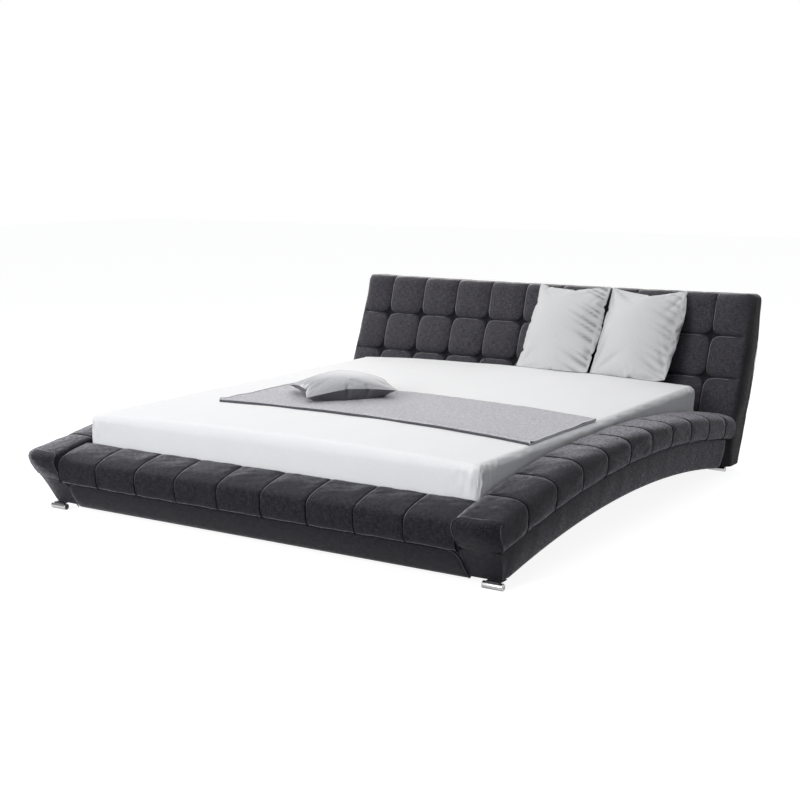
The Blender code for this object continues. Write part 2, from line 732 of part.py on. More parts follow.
def pad_place(u, v, w):
    """Place a point of the pad: u across it, v from face to back, w up it."""
    x = mix(-HEADBOARD_HALF_WIDTH, HEADBOARD_HALF_WIDTH, u)
    z = mix(FOOT_HEIGHT, HEADBOARD_HEIGHT, w)
    front = between(FRONT_TABLE, z) + wrap_at(x, z) - tuft_bulge(x, z)
    if w == 1.0:
        front += TOP_ROLL
    y = mix(front, between(BACK_TABLE, z), v)
    edge = 1.0 - abs(2.0 * v - 1.0)
    if u in (0.0, 1.0):
        x -= math.copysign(SIDE_ROUND * (1.0 - edge) ** 2, x)
    if w == 1.0:
        z -= TOP_ROUND * (1.0 - edge) ** 2 + TOP_SCALLOP * (1.0 - column_swell(x))
    return Vector((x, y, z))


def pad_cuts():
    """Return the shares at which the pad's block is cut along each axis."""
    width = 2 * HEADBOARD_HALF_WIDTH
    height = HEADBOARD_HEIGHT - FOOT_HEIGHT
    seams = [-TUFT_HALF + TUFT_PITCH * index for index in range(TUFT_COLUMNS - 1)]
    sides = [mix(TUFT_HALF, HEADBOARD_HALF_WIDTH, share) for share in SIDE_COLUMN_SHARES]
    across = [*[-x for x in reversed(sides)], *sides, seams[-1]]
    for low, high in zip(seams, seams[1:]):
        across.extend(mix(low, high, share) for share in (0.0, *CHANNEL_SHARES))
    up = [mix(HEAD_ROWS[0], HEAD_ROWS[1], 0.5), HEADBOARD_STRAIGHT, HEAD_ROWS[-1]]
    for low, high in zip(HEAD_ROWS[1:], HEAD_ROWS[2:]):
        up.extend(mix(low, high, share) for share in (0.0, *CHANNEL_SHARES))
    return (
        sorted((x + HEADBOARD_HALF_WIDTH) / width for x in across),
        PAD_DEPTH_SHARES,
        sorted((z - FOOT_HEIGHT) / height for z in up))


def head_rings(outline, heights):
    """Return level sections of the headboard, from a rule that gives their corners."""
    return [[Vector((x, y, z)) for x, y in outline(z)] for z in heights]


def levels(low, high):
    """Return the knots between two heights, with the heights themselves."""
    return [low, *[z for z in head_knots() if low < z < high], high]


def panel_front(z):
    """Return the y of the panel's face at a height."""
    return between(FRONT_TABLE, z) + PAD_THICKNESS


def post_front(z):
    """Return the y at which the posts start, behind the rolled sides."""
    rolled = wrap_at(HEADBOARD_HALF_WIDTH, z) / SIDE_WRAP
    return panel_front(z) + PANEL_THICKNESS + POST_SETBACK * rolled


def pocket_outline(z):
    """Return the T-shaped section of the hollow in the pad's back."""
    panel = PANEL_HALF + GAP
    front = panel_front(z) - GAP
    step = post_front(z) - GAP
    back = between(BACK_TABLE, z) + OVERRUN
    right = [(panel, front), (panel, step), (POCKET_HALF, step), (POCKET_HALF, back)]
    left = [(-x, y) for x, y in reversed(right)]
    return right + left


def panel_outline(z):
    """Return the panel's section at a height."""
    front = panel_front(z)
    back = front + PANEL_THICKNESS
    return [(-PANEL_HALF, front), (PANEL_HALF, front), (PANEL_HALF, back), (-PANEL_HALF, back)]


def post_outline(side):
    """Return a rule that gives a post's section at a height."""
    outer = POCKET_HALF - GAP
    inner = outer - POST_WIDTH

    def outline(z):
        front = post_front(z)
        back = between(BACK_TABLE, z) - BACK_COVER_THICKNESS - GAP
        return [(side * x, y) for x, y in ((inner, front), (outer, front), (outer, back), (inner, back))]

    return outline


def cross_rail_outline(z):
    """Return the section of a cross rail between the panel and the back cover."""
    front = panel_front(z) + PANEL_THICKNESS + GAP
    back = between(BACK_TABLE, z) - BACK_COVER_THICKNESS - GAP
    return [(-PANEL_HALF, front), (PANEL_HALF, front), (PANEL_HALF, back), (-PANEL_HALF, back)]


def back_cover_outline(z):
    """Return the back cover's section at a height."""
    half = POCKET_HALF - GAP
    back = between(BACK_TABLE, z)
    front = back - BACK_COVER_THICKNESS
    return [(-half, front), (half, front), (half, back), (-half, back)]


def headboard(fabric, timber, lining):
    """Make the headboard's pad, panel, posts, cross rails and back cover."""
    top = HEADBOARD_HEIGHT - PAD_TOP_RIM
    pad = add_object("headboard_pad", grid_block(pad_cuts(), pad_place), fabric)
    below = FOOT_HEIGHT - OVERRUN
    hollow = loft(head_rings(pocket_outline, levels(below, top)), flat_ends=True)
    pocket = make_cutter("headboard_pocket", hollow)
    combine(pad, pocket, "DIFFERENCE")
    inner_top = top - GAP
    panel = add_object("headboard_panel", loft(head_rings(panel_outline, levels(FOOT_HEIGHT, inner_top))), timber)
    for side, word in ((-1, "left"), (1, "right")):
        rings = head_rings(post_outline(side), levels(FOOT_HEIGHT, inner_top))
        add_object(f"headboard_post_{word}", loft(rings), timber)
    rail_top = top - TOP_RAIL_DROP
    upper = levels(rail_top - TOP_RAIL_HEIGHT, rail_top)
    add_object("headboard_top_rail", loft(head_rings(cross_rail_outline, upper)), timber)
    rail_low = FOOT_HEIGHT + BOTTOM_RAIL_LIFT
    lower = levels(rail_low, rail_low + BOTTOM_RAIL_HEIGHT)
    add_object("headboard_bottom_rail", loft(head_rings(cross_rail_outline, lower)), timber)
    cover = head_rings(back_cover_outline, levels(FOOT_HEIGHT, inner_top))
    add_object("headboard_back_cover", loft(cover), lining)
    return pad, panel


# Brackets, bolts, feet and the slatted base


def bolt_places(side, end):
    """Yield (centre of the bracket's face, direction into the board) of each bolt."""
    for rise in BOLT_RISES:
        height = BRACKET_BOTTOM + rise
        rail_face = side * (BOARD_INNER_X - GAP - BRACKET_THICKNESS)
        inset = BRACKET_THICKNESS + BOLT_INSET
        if end == "foot":
            board_y = FOOT_BOARD_BACK_Y + GAP + BRACKET_THICKNESS
            along_y = FOOT_BOARD_BACK_Y + GAP + inset
            into = -1.0
        else:
            board_y = HEAD_Y - BRACKET_THICKNESS
            along_y = HEAD_Y - inset
            into = 1.0
        yield Vector((rail_face, along_y, height)), Vector((side, 0.0, 0.0))
        yield Vector((side * (BOARD_INNER_X - GAP - inset), board_y, height)), Vector((0.0, into, 0.0))


def all_bolts():
    """Return the place and direction of every bolt in the four corners."""
    return [bolt for side in (-1, 1) for end in ("foot", "head") for bolt in bolt_places(side, end)]


def bolt_holes(name):
    """Make the cutter that leaves clearance round every bolt's shank."""
    bm = bmesh.new()
    depth = 2 * (BOLT_LENGTH + GAP)
    for place, into in all_bolts():
        add_cylinder(bm, place, into, BOLT_RADIUS + GAP, depth, BOLT_SIDES)
    return make_cutter(name, bm)


def bracket_bolts(side, end, name):
    """Make the four pan-head bolts of one corner, which their bracket carries."""
    bm = bmesh.new()
    for place, into in bolt_places(side, end):
        rings = []
        for depth, radius in (
                (-BOLT_HEAD_HEIGHT, BOLT_HEAD_RADIUS * BOLT_DOME_SHARE),
                (-BOLT_HEAD_HEIGHT * BOLT_DOME_SHARE, BOLT_HEAD_RADIUS),
                (BOLT_SEAT, BOLT_HEAD_RADIUS), (BOLT_SEAT, BOLT_RADIUS), (BOLT_LENGTH, BOLT_RADIUS)):
            rings.append(circle(place + into * depth, into, radius, BOLT_SIDES))
        add_rings(bm, rings)
    return make_cutter(name, bm)


def circle(centre, axis, radius, sides):
    """Return the points of a polygon round an axis."""
    turn = Vector((0.0, 0.0, 1.0)).rotation_difference(Vector(axis)).to_matrix()
    points = []
    for index in range(sides):
        angle = math.tau * (index + 0.5) / sides
        points.append(centre + turn @ Vector((radius * math.cos(angle), radius * math.sin(angle), 0.0)))
    return points


def corner_bracket(side, end, name, material):
    """Make one steel angle between a side rail and the foot or head, with its bolts."""
    rail_x = BOARD_INNER_X - GAP
    top = BRACKET_BOTTOM + BRACKET_HEIGHT
    if end == "foot":
        start = FOOT_BOARD_BACK_Y + GAP
        way = 1.0
    else:
        start = HEAD_Y
        way = -1.0
    plan = [
        (rail_x, start), (rail_x, start + way * BRACKET_LEG),
        (rail_x - BRACKET_THICKNESS, start + way * BRACKET_LEG),
        (rail_x - BRACKET_THICKNESS, start + way * BRACKET_THICKNESS),
        (rail_x - BRACKET_LEG, start + way * BRACKET_THICKNESS), (rail_x - BRACKET_LEG, start)]
    bm = bmesh.new()
    face = bm.faces.new([bm.verts.new((side * x, y, BRACKET_BOTTOM)) for x, y in plan])
    raised = bmesh.ops.extrude_face_region(bm, geom=[face])
    lifted = [item for item in raised["geom"] if isinstance(item, bmesh.types.BMVert)]
    bmesh.ops.translate(bm, verts=lifted, vec=(0.0, 0.0, top - BRACKET_BOTTOM))
    made = add_object(name, bm, material)
    round_edges(made, BRACKET_EDGE_RADIUS)
    combine(made, bracket_bolts(side, end, f"{name}_bolts"), "UNION")
    return made


def roller_foot(side, axis_y, plate_way, name, material):
    """Make one chrome roller foot: a short bar along X under a plate on a web."""
    centre_x = POCKET_HALF - ROLLER_LENGTH / 2 + ROLLER_INSET / 2
    centre = Vector((side * centre_x, axis_y, ROLLER_RADIUS))
    sharp = ROLLER_RADIUS / math.cos(math.pi / ROLLER_SIDES)
    bm = bmesh.new()
    add_cylinder(bm, centre, (1.0, 0.0, 0.0), sharp, ROLLER_LENGTH, ROLLER_SIDES)
    foot = add_object(name, bm, material)
    round_edges(foot, ROLLER_EDGE_RADIUS)
    plate_top = FOOT_HEIGHT - GAP
    plate_low = plate_top - FOOT_PLATE_THICKNESS
    seat = bmesh.new()
    half = FOOT_PLATE_WIDTH / 2
    far_y = axis_y + plate_way * FOOT_PLATE_LENGTH
    near_y = axis_y - plate_way * FOOT_WEB_WIDTH / 2
    low_y = min(near_y, far_y)
    high_y = max(near_y, far_y)
    add_box(seat, (centre.x - half, low_y, plate_low), (centre.x + half, high_y, plate_top))
    plate = make_cutter(f"{name}_plate", seat)
    combine(foot, plate, "UNION")
    web = bmesh.new()
    web_y = FOOT_WEB_WIDTH / 2
    add_box(
        web, (centre.x - half, axis_y - web_y, ROLLER_RADIUS),
        (centre.x + half, axis_y + web_y, mix(plate_low, plate_top, 0.5)))
    combine(foot, make_cutter(f"{name}_web", web), "UNION")
    plug = bmesh.new()
    add_cylinder(plug, centre, (1.0, 0.0, 0.0), PLUG_RADIUS, ROLLER_LENGTH + 2 * PLUG_PROUD, BOLT_SIDES)
    combine(foot, make_cutter(f"{name}_plugs", plug), "UNION")


def ledger(side, name, material):
    """Make the strip on a rail's board that carries the slats' ends."""
    outer = side * (BOARD_INNER_X - GAP)
    inner = outer - side * LEDGER_WIDTH
    low = (min(outer, inner), FOOT_BOARD_BACK_Y + LEDGER_END_CLEARANCE, LEDGER_TOP - LEDGER_HEIGHT)
    high = (max(outer, inner), HEAD_Y - LEDGER_END_CLEARANCE, LEDGER_TOP)
    return box_object(name, low, high, material, SLAT_EDGE_RADIUS)


def beam_hanger(end, name, material):
    """Make the angled steel seat that carries one end of the centre beam."""
    half = HANGER_WIDTH / 2
    seat_top = LEDGER_TOP - BEAM_HEIGHT - GAP
    if end == "foot":
        start = FOOT_BOARD_BACK_Y + GAP
        way = 1.0
    else:
        start = HEAD_Y
        way = -1.0
    outline = [
        (start, seat_top - HANGER_DROP), (start, seat_top), (start + way * HANGER_SEAT, seat_top),
        (start + way * HANGER_SEAT, seat_top - HANGER_THICKNESS),
        (start + way * HANGER_THICKNESS, seat_top - HANGER_THICKNESS),
        (start + way * HANGER_THICKNESS, seat_top - HANGER_DROP)]
    bm = bmesh.new()
    face = bm.faces.new([bm.verts.new((-half, y, z)) for y, z in outline])
    raised = bmesh.ops.extrude_face_region(bm, geom=[face])
    moved = [item for item in raised["geom"] if isinstance(item, bmesh.types.BMVert)]
    bmesh.ops.translate(bm, verts=moved, vec=(HANGER_WIDTH, 0.0, 0.0))
    made = add_object(name, bm, material)
    round_edges(made, BRACKET_EDGE_RADIUS)
    return made


def centre_beam(material):
    """Make the steel beam down the middle of the bed."""
    half = BEAM_WIDTH / 2
    low = (-half, FOOT_BOARD_BACK_Y + GAP + HANGER_THICKNESS, LEDGER_TOP - BEAM_HEIGHT)
    high = (half, HEAD_Y - HANGER_THICKNESS, LEDGER_TOP)
    return box_object("centre_beam", low, high, material, BEAM_EDGE_RADIUS)


def centre_leg(index, place, steel, plastic):
    """Make one centre leg with its bore, and the levelling glide that screws into it."""
    top = LEDGER_TOP - BEAM_HEIGHT - GAP
    flange_low = top - LEG_FLANGE_THICKNESS
    bore_top = LEG_BOTTOM + LEG_BORE_DEPTH
    profile = [
        (0.0, top), (LEG_FLANGE_RADIUS, top), (LEG_FLANGE_RADIUS, flange_low), (LEG_RADIUS, flange_low),
        (LEG_RADIUS, LEG_BOTTOM), (LEG_BORE_RADIUS, LEG_BOTTOM), (LEG_BORE_RADIUS, bore_top), (0.0, bore_top)]
    centre = (0.0, mix(FOOT_Y, HEAD_Y, place), 0.0)
    turned_object(f"centre_leg_{index}", profile, centre, steel, ROLLER_SIDES)
    glide = [
        (0.0, 0.0), (GLIDE_RADIUS, 0.0), (GLIDE_RADIUS, GLIDE_RIM_HEIGHT),
        (mix(GLIDE_STEM_RADIUS, GLIDE_RADIUS, GLIDE_SHOULDER_SHARE), GLIDE_HEIGHT), (GLIDE_STEM_RADIUS, GLIDE_HEIGHT),
        (GLIDE_STEM_RADIUS, GLIDE_STEM_TOP), (0.0, GLIDE_STEM_TOP)]
    turned_object(f"levelling_glide_{index}", glide, centre, plastic, ROLLER_SIDES)


def slats(material):
    """Make the row of slats across the ledgers and the beam."""
    half = MATTRESS_WIDTH / 2 - SLAT_END_CLEARANCE
    for index in range(SLAT_COUNT):
        y = mix(FOOT_Y + SLAT_FIRST_REACH, HEAD_Y - SLAT_FIRST_REACH, index / (SLAT_COUNT - 1))
        low = (-half, y - SLAT_WIDTH / 2, SLAT_TOP - SLAT_THICKNESS)
        high = (half, y + SLAT_WIDTH / 2, SLAT_TOP)
        box_object(f"slat_{index + 1:02d}", low, high, material, SLAT_EDGE_RADIUS)


# Mattress and bedding

BEDDING_MIDDLE_Y = (FOOT_Y + HEAD_Y) / 2
SHEET_TOP = SLAT_TOP + REST_GAP + MATTRESS_EDGE_HEIGHT


def crown_at(x):
    """Return how far the mattress's top stands above its long edges at a width."""
    across = min(1.0, abs(x) / (MATTRESS_WIDTH / 2))
    return MATTRESS_CROWN * (1.0 - across ** MATTRESS_CROWN_POWER)


def mattress_block(inset):
    """Return the crowned block of the mattress, drawn in by an inset on every side."""
    half_x = MATTRESS_WIDTH / 2 - inset
    half_y = MATTRESS_LENGTH / 2 - inset
    low = SLAT_TOP + REST_GAP + inset
    high = SHEET_TOP - inset

    def place(u, v, w):
        x = mix(-half_x, half_x, u)
        y = mix(BEDDING_MIDDLE_Y - half_y, BEDDING_MIDDLE_Y + half_y, v)
        z = mix(low, high, w)
        if w == 1.0:
            z += crown_at(x)
        return Vector((x, y, z))

    return grid_block((MATTRESS_CUT_SHARES, (), ()), place)


def mattress(material):
    """Make the mattress with its rounded edges."""
    made = add_object("mattress", mattress_block(SHEET_THICKNESS + SHEET_CLEARANCE), material)
    round_edges(made, MATTRESS_EDGE_RADIUS, 3)
    return made


def fitted_sheet(material):
    """Make the fitted sheet as a thin shell, open underneath inside its hem."""
    sheet = add_object("fitted_sheet", mattress_block(0.0), material)
    round_edges(sheet, MATTRESS_EDGE_RADIUS + SHEET_THICKNESS, 3)
    core = make_cutter("sheet_inside", mattress_block(SHEET_THICKNESS))
    round_edges(core, MATTRESS_EDGE_RADIUS, 3)
    combine(sheet, core, "DIFFERENCE")
    bm = bmesh.new()
    half_x = MATTRESS_WIDTH / 2 - SHEET_HEM_REACH
    half_y = MATTRESS_LENGTH / 2 - SHEET_HEM_REACH
    floor = SLAT_TOP + REST_GAP
    add_box(
        bm, (-half_x, BEDDING_MIDDLE_Y - half_y, floor - OVERRUN),
        (half_x, BEDDING_MIDDLE_Y + half_y, floor + SHEET_THICKNESS * 2))
    combine(sheet, make_cutter("sheet_opening", bm), "DIFFERENCE")
    return sheet


def runner(material):
    """Make the runner that lies across the mattress, with a thicker hem near the foot."""

    def place(u, v, w):
        x = mix(RUNNER_LEFT, RUNNER_RIGHT, u)
        skew = RUNNER_SKEW * max(0.0, u - RUNNER_STRAIGHT_SHARE) / (1.0 - RUNNER_STRAIGHT_SHARE)
        y = FOOT_Y + mix(RUNNER_NEAR, RUNNER_FAR, v) - skew
        thick = RUNNER_HEM_THICKNESS if v <= RUNNER_CUT_SHARES[0] else RUNNER_THICKNESS
        z = SHEET_TOP + crown_at(x) + REST_GAP + w * thick
        return Vector((x, y, z))

    along = [index / RUNNER_COLUMNS for index in range(1, RUNNER_COLUMNS)]
    return add_object("runner", grid_block((along, RUNNER_CUT_SHARES, ()), place), material)


def cushion_block(width, height, thickness, flat_share=0.0):
    """Return a plump cushion with pointed corners, standing on edge in its own frame.

    X runs across it, Z up it and Y through it, with the face at -Y. flat_share flattens
    the back where it rests on something.
    """

    def place(u, v, w):
        across = 2.0 * u - 1.0
        up = 2.0 * w - 1.0
        full = (1.0 - abs(across) ** CUSHION_POWER) * (1.0 - abs(up) ** CUSHION_POWER)
        depth = CUSHION_SEAM / 2 + (thickness - CUSHION_SEAM) / 2 * full ** CUSHION_FULLNESS
        if v == 1.0 and flat_share:
            depth = min(depth, thickness * flat_share)
        x = across * (width / 2 - CUSHION_DRAW * (1.0 - up * up))
        z = up * (height / 2 - CUSHION_DRAW * (1.0 - across * across))
        return Vector((x, (2.0 * v - 1.0) * depth, z))

    return grid_block((CUSHION_CUT_SHARES, (), CUSHION_CUT_SHARES), place)


def throw_cushion(material):
    """Make the cushion that lies on the runner."""
    bm = cushion_block(CUSHION_SIZE, CUSHION_SIZE, CUSHION_THICKNESS, CUSHION_FLAT_SHARE)
    made = add_object("throw_cushion", bm, material)
    y = FOOT_Y + CUSHION_REACH
    base = SHEET_TOP + crown_at(CUSHION_X) + RUNNER_THICKNESS + 2 * REST_GAP + CUSHION_CROWN_RISE
    height = base + CUSHION_FLAT_SHARE * CUSHION_THICKNESS
    made.location = (CUSHION_X, y, height)
    made.rotation_euler = (-math.pi / 2, 0.0, CUSHION_TURN)
    return made


def pillow(index, place_x, material):
    """Make one pillow that stands on the mattress and leans towards the headboard."""
    bm = cushion_block(PILLOW_WIDTH, PILLOW_HEIGHT, PILLOW_THICKNESS)
    made = add_object(f"pillow_{index}", bm, material)
    half = PILLOW_HEIGHT / 2
    y = HEAD_Y + PILLOW_FOOT_REACH
    foot = SHEET_TOP + crown_at(place_x - PILLOW_WIDTH / 2) - PILLOW_FOOT_DROP + REST_GAP
    made.location = (place_x, y + half * math.sin(PILLOW_LEAN), foot + half * math.cos(PILLOW_LEAN))
    made.rotation_euler = (-PILLOW_LEAN, 0.0, 0.0)
    return made


def build():
    """Make every piece of the bed."""
    clear_scene()
    fabric = make_material("charcoal_fabric", (0.052, 0.049, 0.058), 0.92)
    lining = make_material("black_lining", (0.02, 0.02, 0.022), 0.95)
    timber = make_material("timber", (0.48, 0.33, 0.19), 0.65)
    slat_wood = make_material("slat_wood", (0.62, 0.46, 0.28), 0.55)
    steel = make_material("black_steel", (0.03, 0.03, 0.032), 0.45, 0.6)
    chrome = make_material("chrome", (0.80, 0.80, 0.81), 0.10, 1.0)
    plastic = make_material("black_plastic", (0.02, 0.02, 0.02), 0.5)
    ticking = make_material("mattress_ticking", (0.78, 0.78, 0.76), 0.9)
    cotton = make_material("white_cotton", (0.82, 0.82, 0.83), 0.85)
    wool = make_material("grey_weave", (0.30, 0.29, 0.31), 0.92)
    satin = make_material("grey_satin", (0.34, 0.34, 0.36), 0.40)

    holes = bolt_holes("bolt_holes")
    pad, panel = headboard(fabric, timber, lining)
    combine(pad, holes, "DIFFERENCE")
    combine(panel, holes, "DIFFERENCE")
    foot_bolster(fabric)
    foot_plinth(fabric)
    board = foot_board(timber)
    combine(board, holes, "DIFFERENCE")
    for side, word in ((-1, "left"), (1, "right")):
        rail_bolster(side, f"rail_bolster_{word}", fabric)
        rail_skirt(side, f"rail_skirt_{word}", fabric)
        rail = rail_board(side, f"rail_board_{word}", timber)
        combine(rail, holes, "DIFFERENCE")
        ledger(side, f"ledger_{word}", timber)
        foot_gusset(side, f"foot_gusset_{word}", fabric)
        for end in ("foot", "head"):
            corner_bracket(side, end, f"bracket_{end}_{word}", steel)
        front_y = FOOT_Y - FRONT_ROLLER_REACH
        rear_y = HEAD_Y + REAR_ROLLER_REACH
        roller_foot(side, front_y, 1.0, f"roller_foot_front_{word}", chrome)
        roller_foot(side, rear_y, 1.0, f"roller_foot_rear_{word}", chrome)
    centre_beam(steel)
    beam_hanger("foot", "beam_hanger_foot", steel)
    beam_hanger("head", "beam_hanger_head", steel)
    for index, place in enumerate(LEG_PLACE_SHARES, 1):
        centre_leg(index, place, steel, plastic)
    slats(slat_wood)
    mattress(ticking)
    fitted_sheet(cotton)
    runner(wool)
    throw_cushion(satin)
    for index, place_x in enumerate(PILLOW_PLACES, 1):
        pillow(index, place_x, cotton)


build()
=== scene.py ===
"""Looks of the upholstered bed: padded forms, bedding, feet, finishes, light and camera.

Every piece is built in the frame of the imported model, in metres. +Y points to the head
and +X to the right of someone who stands at the foot.
"""

import logging
import math
from collections.abc import Callable, Iterator, Sequence
from dataclasses import dataclass, field
from enum import Enum

import bmesh
import bpy
import numpy as np
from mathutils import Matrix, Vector


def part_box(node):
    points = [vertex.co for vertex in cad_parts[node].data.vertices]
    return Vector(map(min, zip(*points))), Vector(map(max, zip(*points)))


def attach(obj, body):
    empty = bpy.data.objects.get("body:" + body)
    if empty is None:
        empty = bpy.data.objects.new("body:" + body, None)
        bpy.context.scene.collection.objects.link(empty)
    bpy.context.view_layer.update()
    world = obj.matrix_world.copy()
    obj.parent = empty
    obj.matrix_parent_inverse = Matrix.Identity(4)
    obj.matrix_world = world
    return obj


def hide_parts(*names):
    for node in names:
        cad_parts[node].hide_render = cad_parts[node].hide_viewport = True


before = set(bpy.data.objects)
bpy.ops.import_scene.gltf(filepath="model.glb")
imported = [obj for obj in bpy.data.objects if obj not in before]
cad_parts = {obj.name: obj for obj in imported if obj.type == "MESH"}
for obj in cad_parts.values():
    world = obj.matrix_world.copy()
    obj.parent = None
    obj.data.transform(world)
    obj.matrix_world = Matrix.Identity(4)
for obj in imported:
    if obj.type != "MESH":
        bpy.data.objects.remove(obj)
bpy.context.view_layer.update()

LOG = logging.getLogger("bed")
Array = np.ndarray
Colour = tuple[float, float, float]
Socket = bpy.types.NodeSocket
Piece = bpy.types.Object
Material = bpy.types.Material
Ring = tuple[Array, Array, Array]
MERGE_DISTANCE = 0.00001
PUFF_POWER = 5.0
CROWN_POWER = 3.2
SHARP_ANGLE = math.radians(62.0)
FINE_STEPS = (0.0, 0.0015, 0.0035, 0.006, 0.0095, 0.015, 0.023, 0.034, 0.05, 0.072)
# Painted sheen: how the charcoal cloth's colour grows paler at glancing angles, a highlight painted into it.
PAINTED_SHEEN_RANGE = (0.56, 0.77)
PAINTED_SHEEN_POWER = 1.5
PAINTED_SHEEN_BLUE = 0.84
# Painted shade: the headboard pad's outer sides are darkened toward near-black by their width.
PAINTED_SIDE_SHADE_SPAN = (1.046, 1.064)
PAINTED_SIDE_SHADE_COLOUR = (0.007, 0.007, 0.009, 1.0)
SEAM_OUT = 0.0008


class Side(Enum):
    """The two sides of the bed, by the sign of X."""

    LEFT = -1
    RIGHT = 1

    @property
    def word(self) -> str:
        """The side's name as the pieces use it."""
        return self.name.lower()


class Weave(Enum):
    """What a fabric's threads follow: the cloth's own surface, or the object's X and Z."""

    CLOTH = "cloth"
    UPRIGHT = "upright"


class Grain(Enum):
    """The axis that the grain of a timber piece runs along, as stretches of its pattern."""

    ACROSS = (1.2, 14.0, 14.0)
    ALONG = (14.0, 1.2, 14.0)
    UPWARDS = (14.0, 14.0, 1.2)


@dataclass(frozen=True)
class Plan:
    """The sizes that several pieces of the bed share."""

    inner_x: float = 0.907
    foot_y: float = -1.0835
    head_y: float = 0.9165
    clearance: float = 0.0285
    reach: float = 0.205
    arch_rise: float = 0.098
    arch_half_span: float = 1.05
    arch_middle: float = -0.1135
    rail_bottom: float = 0.115
    rail_seam: float = 0.137
    gap: float = 0.0003
    slat_top: float = 0.200
    mattress_half_x: float = 0.900
    mattress_half_y: float = 1.000
    mattress_height: float = 0.187
    mattress_crown: float = 0.020
    crown_power: float = 2.5
    rest_gap: float = 0.0006

    @property
    def middle_y(self) -> float:
        """The middle of the mattress."""
        return (self.foot_y + self.head_y) / 2

    @property
    def sheet_edge(self) -> float:
        """The height of the sheet's top along its long edges."""
        return self.slat_top + self.rest_gap + self.mattress_height

    def rail_low(self, y: Array) -> Array:
        """The height of the arch's lower edge at places along a rail."""
        return self.rail_bottom - self.arch_rise * ((y - self.arch_middle) / self.arch_half_span) ** 2

    def crown(self, x: Array) -> Array:
        """How far the mattress stands above its long edges at places across it."""
        share = np.minimum(1.0, np.abs(x) / self.mattress_half_x)
        return self.mattress_crown * (1.0 - share ** self.crown_power)


PLAN = Plan()


# Small sums that the forms share


def mix(first: Array, second: Array, share: Array) -> Array:
    """Return the values a share of the way from the first to the second."""
    return first + (second - first) * share


def xyz(x: Array, y: Array, z: Array) -> Array:
    """Return points from widths, lengths and heights, each an array or one number for all."""
    return np.stack(np.broadcast_arrays(x, y, z), axis=-1)


def smooth(value: Array) -> Array:
    """Return 0 below 0, 1 above 1 and an S-curve between them."""
    value = np.clip(value, 0.0, 1.0)
    return value * value * (3.0 - 2.0 * value)


def puff_at(share: Array) -> Array:
    """Return how full a channel is at a share of its width, 0 at its seams."""
    return 1.0 - np.abs(2.0 * share - 1.0) ** PUFF_POWER


def groove_at(distance: Array, width: float = 0.0032) -> Array:
    """Return how deep a sewn groove is at a distance from its seam, 1 at the seam."""
    return np.exp(-(np.abs(distance) / width) ** 1.5)


def ripple(points: Array, seed: int, size: float, waves: int = 7) -> Array:
    """Return a smooth uneven field over points, from about -1 to 1.

    Args:
        points: the points, in metres.
        seed: which field of many.
        size: the rough distance from one rise to the next.
        waves: how many plain waves are added up.

    Returns:
        One value for each point.
    """
    draw = np.random.default_rng(seed)
    total = np.zeros(points.shape[:-1])
    for _ in range(waves):
        way = draw.normal(size=3)
        way *= draw.uniform(0.7, 1.5) * math.tau / size / np.linalg.norm(way)
        total += np.sin(points @ way + draw.uniform(0.0, math.tau))
    return total / math.sqrt(waves)


def offsets(length: float, fine: Sequence[float]) -> list[float]:
    """Return places from one seam up to the next, at fine distances from both and in the middle."""
    near = [place for place in fine if place < length / 2 * 0.95]
    return [*near, length / 2, *[length - place for place in reversed(near) if place > 0.0]]


def arc_lengths(points: Array) -> Array:
    """Return cloth coordinates in metres, measured along the rows and columns of a grid."""
    along = np.linalg.norm(np.diff(points, axis=1), axis=2)
    down = np.linalg.norm(np.diff(points, axis=0), axis=2)
    cloth = np.zeros((*points.shape[:2], 2))
    cloth[:, 1:, 0] = np.cumsum(along, axis=1)
    cloth[1:, :, 1] = np.cumsum(down, axis=0)
    middle = points.shape[1] // 2
    cloth[:, :, 0] -= cloth[:, middle:middle + 1, 0]
    return cloth


# Meshes


